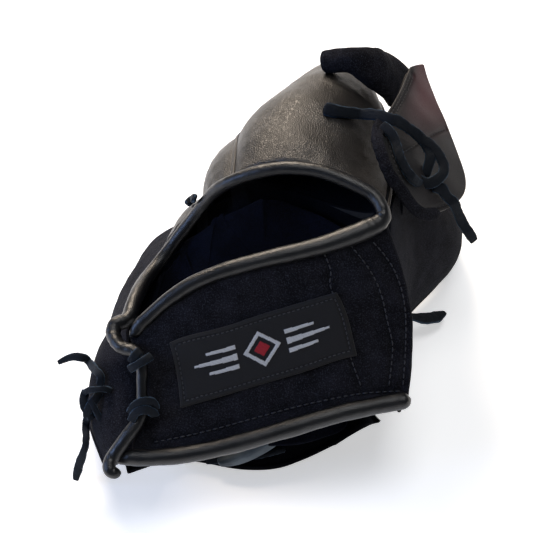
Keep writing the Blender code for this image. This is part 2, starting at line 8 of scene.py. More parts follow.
import bpy
import numpy as np
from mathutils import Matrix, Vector


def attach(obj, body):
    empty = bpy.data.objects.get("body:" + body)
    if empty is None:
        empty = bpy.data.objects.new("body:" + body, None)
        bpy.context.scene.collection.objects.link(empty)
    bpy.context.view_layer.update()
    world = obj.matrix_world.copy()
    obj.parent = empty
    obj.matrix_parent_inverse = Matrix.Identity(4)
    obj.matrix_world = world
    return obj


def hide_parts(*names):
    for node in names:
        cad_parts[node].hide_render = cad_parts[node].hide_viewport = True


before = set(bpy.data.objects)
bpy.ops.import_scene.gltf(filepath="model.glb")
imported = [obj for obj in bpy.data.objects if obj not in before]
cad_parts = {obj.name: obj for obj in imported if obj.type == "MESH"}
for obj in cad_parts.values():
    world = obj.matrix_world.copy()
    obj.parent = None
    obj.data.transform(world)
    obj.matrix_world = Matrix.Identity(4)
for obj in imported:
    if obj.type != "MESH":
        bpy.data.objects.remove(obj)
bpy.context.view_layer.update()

MM = 0.001
WIDTH = 0.200
LENGTH = 0.200
HEIGHT = 0.125
SIZES = (WIDTH, LENGTH, HEIGHT)
LEATHER = 0.0026
PALM_LEATHER = 0.0030
STRAP_LEATHER = 0.0030
GAP = 0.0007
LINING_LIFT = 0.0060
LINING = 0.0020
ROLL_RADIUS = 0.0030
BAR_HALF = 0.0150
BAR_DEPTH = 0.0065
TIP_NARROWING = 0.45
TONGUE_LEATHER = 0.0040
PATCH = 0.0012
LACE_WIDTH = 0.0056
LACE_THICKNESS = 0.0024
WELT_RADIUS = 0.0010
BADGE_SIZE = (0.079, 0.028)
LACE_SIDES = 24
ROLL_SIDES = 40
# The solids are moved by this when the glove is centred on its footprint
CENTRING = np.array([-0.01014, -0.07286, 0.0])

# Seam surface of the four fingers, one row per station from finger hole to fingertip
# Columns: pinky outer seam, ring/pinky, middle/ring, index/middle, index crown, index edge
# Each cell: share of WIDTH, share of LENGTH, share of HEIGHT
FINGERS = [
    [(-0.412, 0.200, 0.024), (-0.250, 0.330, 0.496), (-0.142, 0.398, 0.684), (-0.065, 0.385, 0.864),
     (0.090, 0.370, 0.936), (0.287, 0.265, 0.876)],
    [(-0.388, 0.375, 0.024), (-0.235, 0.430, 0.420), (-0.135, 0.485, 0.616), (-0.058, 0.550, 0.816),
     (0.120, 0.570, 0.944), (0.310, 0.460, 0.800)],
    [(-0.355, 0.525, 0.024), (-0.205, 0.545, 0.300), (-0.110, 0.605, 0.420), (-0.043, 0.680, 0.640),
     (0.155, 0.745, 0.864), (0.305, 0.685, 0.776)],
    [(-0.320, 0.635, 0.024), (-0.160, 0.660, 0.168), (-0.065, 0.720, 0.248), (0.000, 0.795, 0.472),
     (0.180, 0.870, 0.736), (0.285, 0.805, 0.656)],
    [(-0.280, 0.695, 0.024), (-0.135, 0.735, 0.048), (-0.020, 0.790, 0.096), (0.055, 0.870, 0.328),
     (0.190, 0.945, 0.544), (0.260, 0.890, 0.496)],
]
# Pinky seams between wrist and finger hole: outer seam, ring/pinky seam
PINKY = [
    [(-0.340, -0.185, 0.240), (-0.285, -0.165, 0.248)],
    [(-0.395, -0.035, 0.176), (-0.265, -0.010, 0.424)],
    [(-0.420, 0.090, 0.064), (-0.305, 0.090, 0.528)],
]
# Thumb seams from wrist to tip: outer seam on the floor, inner seam at the web
THUMB = [
    [(0.320, -0.070, 0.360), (0.306, -0.060, 0.415)],
    [(0.305, 0.170, 0.096), (0.296, 0.130, 0.676)],
    [(0.362, 0.390, 0.024), (0.315, 0.383, 0.784)],
    [(0.480, 0.550, 0.024), (0.435, 0.495, 0.512)],
    [(0.515, 0.700, 0.024), (0.460, 0.640, 0.368)],
    [(0.490, 0.820, 0.024), (0.460, 0.760, 0.192)],
]
# Palm from the heel edge forwards, each row from the pinky seam to the thumb seam
PALM = [
    [(-0.320, -0.185, 0.240), (-0.240, -0.070, 0.064), (-0.155, -0.035, 0.000), (0.020, -0.050, 0.000),
     (0.180, 0.020, 0.000), (0.265, 0.020, 0.120), (0.290, -0.070, 0.336)],
    [(-0.355, -0.040, 0.160), (-0.270, 0.020, 0.048), (-0.150, 0.070, 0.064), (0.015, 0.100, 0.192),
     (0.180, 0.120, 0.128), (0.245, 0.110, 0.112), (0.275, 0.080, 0.192)],
    [(-0.395, 0.110, 0.064), (-0.310, 0.170, 0.176), (-0.175, 0.230, 0.336), (0.000, 0.280, 0.480),
     (0.170, 0.275, 0.480), (0.250, 0.230, 0.352), (0.295, 0.230, 0.064)],
]
# Wrist strap from hem to finger hole, each row from the pinky side to the thumb side
STRAP = [
    [(-0.290, -0.169, 0.321), (-0.136, -0.162, 0.342), (0.064, -0.127, 0.408), (0.198, -0.096, 0.443),
     (0.327, -0.066, 0.444)],
    [(-0.278, -0.091, 0.407), (-0.125, -0.054, 0.507), (0.064, -0.020, 0.569), (0.198, 0.010, 0.605),
     (0.336, 0.026, 0.574)],
    [(-0.274, -0.022, 0.500), (-0.136, 0.043, 0.654), (0.053, 0.067, 0.701), (0.198, 0.096, 0.735),
     (0.325, 0.124, 0.722)],
    [(-0.295, 0.048, 0.584), (-0.159, 0.114, 0.740), (0.020, 0.147, 0.824), (0.153, 0.175, 0.855),
     (0.275, 0.223, 0.884)],
]
# Web tongue from the crotch to its top, each row from left edge to right edge
TONGUE = [
    [(0.325, 0.347, 0.864), (0.381, 0.339, 0.748), (0.461, 0.410, 0.676)],
    [(0.299, 0.365, 0.908), (0.390, 0.412, 0.788), (0.499, 0.483, 0.676)],
    [(0.277, 0.421, 0.956), (0.368, 0.473, 0.848), (0.483, 0.575, 0.728)],
    [(0.279, 0.493, 0.960), (0.364, 0.567, 0.884), (0.459, 0.643, 0.780)],
    [(0.326, 0.616, 0.928), (0.379, 0.675, 0.876), (0.435, 0.730, 0.804)],
    [(0.375, 0.767, 0.900), (0.392, 0.786, 0.884), (0.413, 0.807, 0.860)],
]
# Crossbar of the web from the index finger to the thumb tip
# Columns: shares of WIDTH, LENGTH and HEIGHT, then half width and half depth as shares of BAR_HALF, BAR_DEPTH
BAR = [
    (0.150, 0.739, 0.960, 0.37, 0.85),
    (0.193, 0.726, 0.984, 0.41, 0.95),
    (0.237, 0.720, 0.984, 0.50, 1.00),
    (0.282, 0.734, 0.932, 0.73, 0.92),
    (0.327, 0.762, 0.840, 0.93, 0.77),
    (0.368, 0.754, 0.768, 0.93, 0.69),
    (0.412, 0.728, 0.664, 0.80, 0.69),
    (0.451, 0.739, 0.496, 0.67, 0.69),
    (0.471, 0.740, 0.368, 0.53, 0.69),
    (0.478, 0.740, 0.304, 0.47, 0.62),
]
# The crossbar's wide side faces along the first direction at the index finger, then along the second
BAR_FACES = [(0.0, 0.688, -0.725), (-0.65, 0.27, -0.71)]
# Finger walls: columns they span, height of the back, depth of the front
FINGER_WALLS = {
    "pinky": (0, 1, 0.0072, 0.0150),
    "ring": (1, 2, 0.0042, 0.0120),
    "middle": (2, 3, 0.0042, 0.0100),
    "index": (3, 5, 0.0050, 0.0190),
}
THUMB_BACK = 0.0090
THUMB_FRONT = 0.0150
# Stations where the walls begin to round off to the tips, and where three walls begin
FINGER_ROUND_FROM = 2.7
THUMB_ROUND_FROM = 3.6
PINKY_BACK_FROM = 0.12
THUMB_BACK_FROM = 0.15
THUMB_FRONT_FROM = 1.54
# Columns of the palm table that the front of each finger and of the thumb meets, and the gap there
PALM_FINGER_COLUMNS = [(0.0, 1.3), (1.3, 2.3), (2.3, 3.1), (3.1, 4.8)]
PALM_THUMB_COLUMNS = (4.9, 6.0)
PALM_GAP = 0.0020
# Column of the strap where the lower rim's roll ends
TOP_ROLL_END = 3.90
# Share of a back's full height that it has at its first station
BACK_SWELL = 0.70
PINKY_SWELL = 0.65
THUMB_SWELL = 0.40
# From the glove towards the eye, and up the picture, where laces and stitches face
TO_EYE = np.array([0.0, -0.688, 0.725])
UP_VIEW = np.array([0.0, 0.725, 0.688])
# Where the top of each rolled binding faces
ROLL_FACES = (0.0, -0.5, 0.86)
# Rolled bindings, each a row of points along its middle
RIM = [
    (0.270, 0.252, 0.917), (0.254, 0.274, 0.934), (0.223, 0.293, 0.950), (0.087, 0.341, 0.973),
    (-0.065, 0.355, 0.891), (-0.145, 0.371, 0.722), (-0.245, 0.301, 0.545), (-0.286, 0.186, 0.579),
    (-0.302, 0.100, 0.589), (-0.328, 0.080, 0.593),
]
END_ROLL = [
    (-0.336, 0.057, 0.581), (-0.322, 0.028, 0.577), (-0.298, 0.012, 0.579), (-0.277, 0.000, 0.578),
    (-0.266, -0.019, 0.561), (-0.265, -0.035, 0.536), (-0.265, -0.062, 0.494), (-0.267, -0.101, 0.435),
    (-0.287, -0.130, 0.403), (-0.311, -0.154, 0.366), (-0.332, -0.177, 0.332), (-0.339, -0.198, 0.324),
    (-0.329, -0.205, 0.308), (-0.310, -0.205, 0.311),
]
# Laces, each a row of points along its middle
WEB_LEFT = [
    (0.146, 0.532, 0.999), (0.181, 0.530, 0.986), (0.220, 0.543, 0.960), (0.242, 0.543, 0.955),
    (0.273, 0.525, 0.975), (0.305, 0.510, 0.974), (0.323, 0.514, 0.958), (0.355, 0.515, 0.916),
    (0.382, 0.507, 0.882), (0.397, 0.490, 0.860), (0.402, 0.469, 0.844),
]
WEB_LOOP = [
    (0.354, 0.382, 0.858), (0.335, 0.393, 0.894), (0.321, 0.419, 0.924), (0.314, 0.449, 0.942),
    (0.318, 0.479, 0.944),
]
WEB_RIGHT = [
    (0.427, 0.413, 0.763), (0.437, 0.408, 0.744), (0.450, 0.403, 0.721), (0.462, 0.399, 0.701),
    (0.483, 0.400, 0.616), (0.502, 0.392, 0.568), (0.521, 0.392, 0.512),
]
SIDE_UPPER = [
    (-0.220, -0.033, 0.548), (-0.239, -0.038, 0.569), (-0.262, -0.042, 0.590), (-0.283, -0.039, 0.577),
    (-0.293, -0.028, 0.546), (-0.296, -0.021, 0.514),
]
SIDE_LOWER = [
    (-0.220, -0.086, 0.468), (-0.239, -0.095, 0.482), (-0.262, -0.105, 0.495), (-0.283, -0.098, 0.487),
    (-0.293, -0.083, 0.462), (-0.296, -0.068, 0.442),
]
SIDE_KNOT = [
    (-0.374, -0.011, 0.385), (-0.399, -0.001, 0.334), (-0.420, 0.012, 0.270),
]
SIDE_TAIL_A = [
    (-0.369, 0.020, 0.408), (-0.383, 0.044, 0.396), (-0.407, 0.100, 0.335), (-0.418, 0.100, 0.359),
    (-0.447, 0.105, 0.355), (-0.482, 0.105, 0.320),
]
SIDE_TAIL_B = [
    (-0.392, -0.027, 0.301), (-0.410, -0.029, 0.219), (-0.406, -0.075, 0.210), (-0.424, -0.090, 0.117),
    (-0.439, -0.100, 0.023),
]
THUMB_END = [
    (0.376, 0.351, 0.142), (0.412, 0.362, 0.107), (0.450, 0.386, 0.072), (0.479, 0.414, 0.048),
]
RING_END = [
    (-0.157, 0.371, 0.778), (-0.169, 0.441, 0.662), (-0.179, 0.428, 0.661),
]
HEEL_A = [
    (-0.133, -0.046, 0.044), (-0.106, -0.049, 0.047), (-0.076, -0.050, 0.052),
]
HEEL_B = [
    (-0.047, -0.048, 0.058), (0.001, -0.046, 0.065), (0.057, -0.033, 0.069),
]
TIP_LACE_STATION = 3.2
TIP_LACE_COLUMNS = (-0.32, -0.18, 0.18, 0.32)
# Lower and upper edge of the woven patch on the strap, from left to right: station and column
PATCH_EDGES = [
    [(0.78, 0.70), (0.77, 1.24), (0.79, 1.73), (0.79, 2.32), (0.83, 3.10)],
    [(1.99, 0.57), (1.81, 1.13), (1.89, 1.61), (2.01, 2.12), (2.04, 2.76)],
]
# Rows of stitches on the strap, each a list of station and column
STRAP_STITCHES = [
    [(2.90, 2.80), (2.77, 2.82), (2.43, 2.78), (2.11, 2.71), (1.28, 2.89), (0.74, 3.04), (0.42, 3.17),
     (0.30, 3.20)],
    [(2.90, 3.30), (2.76, 3.33), (2.41, 3.42), (1.93, 3.52), (1.41, 3.61), (1.05, 3.70), (0.74, 3.71),
     (0.29, 3.68)],
    [(2.80, 3.68), (2.63, 3.75), (2.33, 3.85), (1.99, 3.90), (1.66, 3.92), (1.15, 3.92), (0.27, 3.91)],
    [(0.29, 0.30), (0.29, 0.97), (0.29, 1.87), (0.24, 2.61), (0.22, 3.20), (0.18, 3.88)],
]
# Rows of stitches on the web's tongue: two along its left edge, one above its foot and one across
TONGUE_STITCHES = [
    [(0.35, 0.14), (1.0, 0.13), (2.0, 0.13), (3.0, 0.15), (4.0, 0.22), (4.8, 0.4)],
    [(0.45, 0.34), (1.0, 0.30), (2.0, 0.30), (3.0, 0.34), (4.0, 0.46), (4.7, 0.75)],
    [(0.20, 0.30), (0.17, 0.70), (0.18, 1.20), (0.30, 1.70)],
    [(2.75, 1.93), (2.55, 1.50), (2.30, 1.05), (2.00, 0.60)],
]


def natural(points, at):
    """Natural cubic spline through rows of points at whole-number parameters, read at `at`."""
    p = np.asarray(points, float)
    n = len(p)
    at = np.clip(np.asarray(at, float), 0, n - 1)
    i = np.clip(np.floor(at).astype(int), 0, n - 2)
    f = (at - i).reshape(at.shape + (1,) * (p.ndim - 1))
    m = np.eye(n)
    r = np.zeros_like(p)
    if n > 2:
        inner = np.arange(1, n - 1)
        m[inner, inner - 1] = m[inner, inner + 1] = 1
        m[inner, inner] = 4
        r[1:-1] = 6 * (p[:-2] - 2 * p[1:-1] + p[2:])
    k = np.linalg.solve(m, r.reshape(n, -1)).reshape(p.shape)
    return ((1 - f) * p[i] + f * p[i + 1]
            + ((1 - f) ** 3 - (1 - f)) * k[i] / 6 + (f ** 3 - f) * k[i + 1] / 6)


def sized(table):
    """Table of shares turned into metres."""
    return np.asarray(table, float) * SIZES


def unit(vectors):
    """Vectors divided by their own lengths."""
    return vectors / np.maximum(np.linalg.norm(vectors, axis=-1, keepdims=True), 1e-12)


def lattice(rows, u, s):
    """Surface through rows of points: natural splines along the rows' stations u, then across s."""
    down = natural(rows, u)
    return natural(np.swapaxes(down, 0, 1), s).swapaxes(0, 1)


def arch(a):
    """Height of a finger's section across its width: 0 at both seams, 1 in the middle."""
    return np.sin(np.pi * np.clip(a, 0, 1)) ** 0.75


def rounding(u, start, end):
    """Quarter ellipse from 1 at station `start` to 0 at station `end`."""
    t = np.clip((u - start) / (end - start), 0, 1)
    return np.sqrt(np.clip(1 - t ** 2, 0, 1))


def spread(count):
    """Shares 0 to 1, closer together at both ends."""
    return 0.5 - 0.5 * np.cos(np.pi * np.arange(count) / (count - 1))


def finger_surface(u, s):
    """Seam surface of the four fingers; the pinky's two seams run on to the wrist at station -3."""
    outer = natural(np.concatenate([sized(PINKY), sized(FINGERS)[:, :2]]), u + len(PINKY))
    others = natural(sized(FINGERS)[:, 2:], u)
    return natural(np.concatenate([outer, others], axis=1).swapaxes(0, 1), s).swapaxes(0, 1)


def straight_across(seams, s):
    """Surface ruled between two seams, each with one point per station."""
    s = np.asarray(s)[..., None]
    s = s[None] if s.ndim == 2 else s
    return seams[:, :1] * (1 - s) + seams[:, 1:2] * s


def pinky_surface(u, s):
    """Seam surface of the pinky from wrist to tip, ruled between its two seams."""
    return straight_across(natural(np.concatenate([sized(PINKY), sized(FINGERS)[:, :2]]), u + len(PINKY)), s)


def thumb_surface(u, s):
    """Seam surface of the thumb, ruled between its outer seam (0) and its inner seam (1)."""
    return straight_across(natural(sized(THUMB), u), s)


def strap_surface(u, s):
    """Outer face of the wrist strap."""
    return lattice(sized(STRAP), u, s)


def tongue_surface(u, s):
    """Outer face of the web's tongue."""
    return lattice(sized(TONGUE), u, s)


def read(surface, u, s):
    """Surface at stations u, where row i of s holds the columns wanted at station u[i]."""
    return np.stack([surface(u[i:i + 1], s[i])[0] for i in range(len(u))])


def outward(surface, u, s, step=0.02):
    """Unit normals of a surface, from its slopes along and across; s holds one row per station."""
    rows = [read(surface, u + du, s + ds) for du, ds in ((step, 0), (-step, 0), (0, step), (0, -step))]
    return unit(np.cross(rows[2] - rows[3], rows[0] - rows[1]))


def wall(surface, u, a, columns, side, height, round_from, end, inset, swell=1.0):
    """One skin of a finger wall: its seam surface pushed out (side 1) or in (side -1).

    The push is half the seam gap plus `height` times an arch across, a rounding along from station
    `round_from` to `end`, and a swell that grows from `swell` to 1 over the first 0.8 of a station.
    `inset` narrows the skin at both seams, in columns, and the tip narrows by TIP_NARROWING.
    """
    first, last = columns
    t = np.clip((u - round_from) / (end - round_from), 0, 1)
    half = (last - first - 2 * inset) / 2 * (1 - TIP_NARROWING * t ** 3)
    s = (first + last) / 2 + np.outer(half, 2 * a - 1)
    rise = swell + (1 - swell) * np.clip((u - u[0]) / 0.8, 0, 1)
    push = GAP / 2 + height * np.outer(rounding(u, round_from, end) * rise, arch(a))
    return read(surface, u, s) + side * push[..., None] * outward(surface, u, s)


def normals(grid):
    """Unit normals of a grid of points: the cross product of its slopes across and along."""
    return unit(np.cross(np.gradient(grid, axis=1), np.gradient(grid, axis=0)))


def uneven(points, size, seed, waves=7):
    """Smooth unevenness of about -1 to 1: sine waves near `size` long, in seeded directions, added up."""
    source = np.random.default_rng(seed)
    way = unit(source.normal(size=(waves, 3)))
    pace = 2 * np.pi / (size * source.uniform(0.7, 1.5, waves))
    phase = source.uniform(0, 2 * np.pi, waves)
    return np.sin(points @ (way * pace[:, None]).T + phase).sum(-1) / np.sqrt(waves)


def nearness(points, route, width):
    """Bell of the distance from points to a route: 1 on the route, exp(-1) at `width` from it."""
    flat = points.reshape(-1, 3)
    least = np.full(len(flat), np.inf)
    for part in np.array_split(route, max(len(route) // 40, 1)):
        least = np.minimum(least, ((flat[:, None] - part[None]) ** 2).sum(-1).min(1))
    return np.exp(-least / width ** 2).reshape(points.shape[:-1])


def lengths(line):
    """Length of a line from its first point to each of its points."""
    return np.r_[0, np.cumsum(np.linalg.norm(np.diff(line, axis=0), axis=1))]


def read_at(at, run, rows):
    """Rows that belong to lengths `run`, read between them at the lengths `at`."""
    return np.stack([np.interp(at, run, rows[:, k]) for k in range(rows.shape[1])], -1)


def smooth_path(points, step):
    """Points read about every `step` along a natural spline through a few chosen points."""
    fine = natural(points, np.linspace(0, len(points) - 1, 60 * len(points)))
    run = lengths(fine)
    return read_at(np.linspace(0, run[-1], max(int(round(run[-1] / step)), 2) + 1), run, fine)


def floored(grid, least=0.0):
    """Grid with no point lower than `least`, as leather lies flat where it rests."""
    out = grid.copy()
    out[..., 2] = np.maximum(out[..., 2], least)
    return out


def colour(code):
    """sRGB hex colour turned to linear light, with full cover."""
    values = [int(code[k:k + 2], 16) / 255 for k in (1, 3, 5)]
    return tuple(v / 12.92 if v <= 0.04045 else ((v + 0.055) / 1.055) ** 2.4 for v in values) + (1.0,)


def plug(tree, node, inputs):
    """Node whose inputs are filled, each with a value or by a link from a socket."""
    for key, value in inputs.items():
        if isinstance(value, bpy.types.NodeSocket):
            tree.links.new(value, node.inputs[key])
        else:
            node.inputs[key].default_value = value
    return node


def add(tree, kind, inputs=None, **settings):
    """New shader node of a kind, with its own settings and its inputs filled."""
    made = tree.nodes.new("ShaderNode" + kind)
    for key, value in settings.items():
        setattr(made, key, value)
    return plug(tree, made, inputs or {})


def noise(tree, place, scale, detail, roughness=0.5):
    """Cloudy noise of about `scale` lumps to the metre."""
    return add(tree, "TexNoise", {"Vector": place, "Scale": scale, "Detail": detail,
                                  "Roughness": roughness}).outputs["Fac"]


def weighted(tree, first, share, second):
    """First value times a share, plus the second value."""
    return add(tree, "Math", {0: first, 1: share, 2: second}, operation="MULTIPLY_ADD").outputs[0]


def product(tree, first, second):
    """First value times the second."""
    return add(tree, "Math", {0: first, 1: second}, operation="MULTIPLY").outputs[0]


def stretched(tree, value, low, high, to_low=0.0, to_high=1.0):
    """Value moved from the range `low` to `high` to another range, and cut off at its ends."""
    return add(tree, "MapRange", {"Value": value, "From Min": low, "From Max": high, "To Min": to_low,
                                  "To Max": to_high}).outputs["Result"]


def blended(tree, factor, first, second, way="MIX"):
    """Colour that goes from the first to the second with a factor."""
    return add(tree, "Mix", {"Factor": factor, 6: first, 7: second}, data_type="RGBA",
               blend_type=way).outputs[2]


def bumped(tree, height, strength, depth):
    """Normal of a relief that is `depth` metres high."""
    return add(tree, "Bump", {"Height": height, "Strength": strength, "Distance": depth}).outputs["Normal"]


def painted(tree, name):
    """Value that a piece's attribute gives at each of its points."""
    return add(tree, "Attribute", attribute_name=name).outputs["Fac"]


def new_material(name):
    """Material with its tree, its principled shader, and the places on the glove and on the sheet."""
    made = bpy.data.materials.new(name)
    made.use_nodes = True
    tree = made.node_tree
    place = add(tree, "TexCoord").outputs
    return made, tree, tree.nodes["Principled BSDF"], place["Object"], place["UV"]


def full_grain(name, base, worn, rough, grain, depth, painted_red_reflection=None):
    """Chrome-tanned cowhide with its grain side out: pebbles with fine creases between, satin dye.

    One point attribute turns the colour to the dark dull flesh side, which on the web tongue is painted shade
    under the loop, and another mixes in a painted red reflection of the given red.
    """
    made, tree, shader, place, _ = new_material(name)
    bend = add(tree, "TexNoise", {"Vector": place, "Scale": 0.5 / grain, "Detail": 2.0})
    moved = add(tree, "VectorMath", {0: bend.outputs["Color"], "Scale": grain * 0.5}, operation="SCALE")
    bent = add(tree, "VectorMath", {0: place, 1: moved.outputs[0]}, operation="ADD")
    pebble = add(tree, "TexVoronoi", {"Vector": bent.outputs[0], "Scale": 1 / grain},
                 feature="DISTANCE_TO_EDGE")
    crease = stretched(tree, pebble.outputs["Distance"], 0.0, 0.25)
    pores = noise(tree, place, 2.2 / grain, 3.0)
    cloud = noise(tree, place, 1 / (16 * MM), 4.0)
    top = blended(tree, stretched(tree, cloud, 0.35, 0.7), colour(base), colour(worn))
    if painted_red_reflection is not None:
        top = blended(tree, painted(tree, "painted_red_reflection"), top, colour(painted_red_reflection))
    smear = stretched(tree, cloud, 0.3, 0.7, rough - 0.04, rough + 0.06)
    flesh_and_painted_shade = painted(tree, "flesh_and_painted_shade")
    dull = add(tree, "Mix", {"Factor": flesh_and_painted_shade, 2: smear, 3: 0.9}, data_type="FLOAT")
    plug(tree, shader, {
        "Base Color": blended(tree, flesh_and_painted_shade, top, colour("#06070b")), "Roughness": dull.outputs[0],
        "Normal": bumped(tree, weighted(tree, pores, 0.6, crease), 0.6, depth), "IOR": 1.5})
    return made


def napped(name, base, brushed, patch=9 * MM, sheen=0.05, tint="#7a8296", tip="#3a3d45"):
    """Rough-out suede: short raised fibres that catch light one by one, brushed in soft patches."""
    nap = 0.6 * MM
    made, tree, shader, place, _ = new_material(name)
    fibre = noise(tree, place, 1 / nap, 4.0, 0.75)
    tuft = noise(tree, place, 0.4 / nap, 3.0)
    cloud = noise(tree, place, 1 / patch, 5.0, 0.6)
    ramp = stretched(tree, weighted(tree, fibre, 0.9, cloud), 0.80, 1.15)
    mixed = blended(tree, ramp, colour(base), colour(brushed))
    speck = stretched(tree, fibre, 0.52, 0.78)
    plug(tree, shader, {
        "Base Color": blended(tree, speck, mixed, colour(tip)), "Roughness": 0.95,
        "Normal": bumped(tree, weighted(tree, tuft, 0.8, fibre), 1.0, 0.6 * nap),
        "Specular IOR Level": 0.07, "Sheen Weight": sheen, "Sheen Roughness": 0.5,
        "Sheen Tint": colour(tint)})
    return made


def rawhide(name, base, edge):
    """Rawhide lace: one dry split side with long fibres, cut edges a little lighter and fuzzy."""
    made, tree, shader, place, strand = new_material(name)
    long = add(tree, "Mapping", {"Vector": strand, "Scale": (1 / (3.0 * MM), 1 / (0.5 * MM), 1.0)})
    fibre = noise(tree, long.outputs["Vector"], 1.0, 4.0)
    fuzz = noise(tree, place, 1 / (0.5 * MM), 4.0)
    wear = stretched(tree, product(tree, fuzz, painted(tree, "edge")), 0.30, 0.75)
    plug(tree, shader, {
        "Base Color": blended(tree, wear, colour(base), colour(edge)), "Roughness": 0.85,
        "Normal": bumped(tree, weighted(tree, fibre, 0.8, fuzz), 0.9, 0.3 * MM),
        "Specular IOR Level": 0.2, "Sheen Weight": 0.12, "Sheen Tint": colour("#7d92a8")})
    return made


def thread(name, base, glint):
    """Bonded nylon sewing thread, twisted from three plies, a little glossy on top."""
    made, tree, shader, place, _ = new_material(name)
    ply = noise(tree, place, 1 / (0.4 * MM), 2.0)
    plug(tree, shader, {"Base Color": blended(tree, ply, colour(base), colour(glint)), "Roughness": 0.5,
                        "Normal": bumped(tree, ply, 0.5, 0.1 * MM)})
    return made


def woven(name):
    """Damask-woven badge cloth: the ground and the motif are threads, coloured by an attribute."""
    made, tree, shader, _, strand = new_material(name)
    warp = add(tree, "TexWave", {"Vector": strand, "Scale": 1 / (0.9 * MM) / 2}, bands_direction="X")
    weft = add(tree, "TexWave", {"Vector": strand, "Scale": 1 / (0.7 * MM) / 2}, bands_direction="Y")
    cross = product(tree, warp.outputs["Fac"], weft.outputs["Fac"])
    dye = add(tree, "Attribute", attribute_name="dye").outputs["Color"]
    plug(tree, shader, {
        "Base Color": blended(tree, 1.0, dye, stretched(tree, cross, 0.0, 1.0, 0.5, 1.2), "MULTIPLY"),
        "Normal": bumped(tree, cross, 0.8, 0.12 * MM), "Roughness": 0.7, "Specular IOR Level": 0.25,
        "Sheen Weight": 0.06})
    return made


def quads_of(index):
    """Quads between neighbours of a grid of vertex numbers."""
    return np.stack([index[:-1, :-1], index[:-1, 1:], index[1:, 1:], index[1:, :-1]], -1).reshape(-1, 4)


def volume(points, quads):
    """Signed volume inside quads: sixth of the triple products of each quad's two triangles."""
    a, b, c, d = (points[quads[:, k]] for k in range(4))
    return (np.cross(a, b) * c).sum() / 6 + (np.cross(a, c) * d).sum() / 6


def placed(name, data):
    """Object of a mesh, a lamp or a camera, linked into the scene."""
    item = bpy.data.objects.new(name, data)
    bpy.context.scene.collection.objects.link(item)
    return item


def new_piece(name, points, faces, look, nodes, uv=None, values=None, grain_points=None):
    """Piece at the origin that rides on the glove's one body and stands for its CAD nodes.

    Of a leather wall, the first `grain_points` points are its grain side, and the other faces are flesh side.
    """
    mesh = bpy.data.meshes.new(name)
    mesh.from_pydata((points + CENTRING).tolist(), [], faces)
    corner = np.empty(len(mesh.loops), int)
    mesh.loops.foreach_get("vertex_index", corner)
    if uv is not None:
        layer = mesh.uv_layers.new(name="strand")
        layer.data.foreach_set("uv", uv[corner].ravel())
    for key, value in (values or {}).items():
        kind = "FLOAT" if value.ndim == 1 else "FLOAT_COLOR"
        field = "value" if value.ndim == 1 else "color"
        mesh.attributes.new(key, kind, "POINT").data.foreach_set(field, value.ravel())
    mesh.materials.append(look)
    if grain_points is not None:
        mesh.materials.append(flesh_side)
        mesh.polygons.foreach_set("material_index", (np.array(faces).min(1) >= grain_points).astype(int))
    mesh.shade_smooth()
    item = placed(name, mesh)
    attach(item, "root")
    if nodes:
        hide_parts(*nodes)
    return item


def closed_wall(outer, inner, steps=4, bulge=0.5):
    """Wall between two grids with the same rows and columns, its cut edge a half round.

    The edge runs from the outer to the inner border in `steps`, pushed away from the sheet's inside by
    `bulge` times the thickness times the sine of the share of the way.
    Returns points, quads and each point's place on the sheet in metres.
    """
    rows, columns = outer.shape[:2]
    count = rows * columns
    index = np.arange(count).reshape(rows, columns)
    loop = np.concatenate([index[0, :-1], index[:-1, -1], index[-1, :0:-1], index[:0:-1, 0]])
    step_in = np.pad(index[1:-1, 1:-1], 1, mode="edge").ravel()[loop]
    flat = outer.reshape(-1, 3)
    back = inner.reshape(-1, 3)
    away = unit(flat[loop] - flat[step_in])
    thick = np.linalg.norm(flat[loop] - back[loop], axis=1, keepdims=True)
    share = np.linspace(0, 1, steps + 1)[1:-1]
    rim = [flat[loop] * (1 - t) + back[loop] * t + away * thick * bulge * np.sin(np.pi * t) for t in share]
    points = np.concatenate([flat, back] + rim)
    added = [2 * count + k * len(loop) + np.arange(len(loop)) for k in range(len(share))]
    bands = [loop] + added + [loop + count]
    quads = [quads_of(index), quads_of(index)[:, ::-1] + count]
    for low, high in zip(bands, bands[1:]):
        quads.append(np.stack([np.roll(low, -1), low, high, np.roll(high, -1)], -1))
    quads = np.concatenate(quads)
    if volume(points, quads) < 0:
        quads = quads[:, ::-1]
    along, across = lengths(outer[:, columns // 2]), lengths(outer[rows // 2])
    place = np.stack(np.meshgrid(along, across, indexing="ij"), -1).reshape(-1, 2)
    uv = np.concatenate([place, place] + [place[loop]] * len(share))
    return points, quads, uv


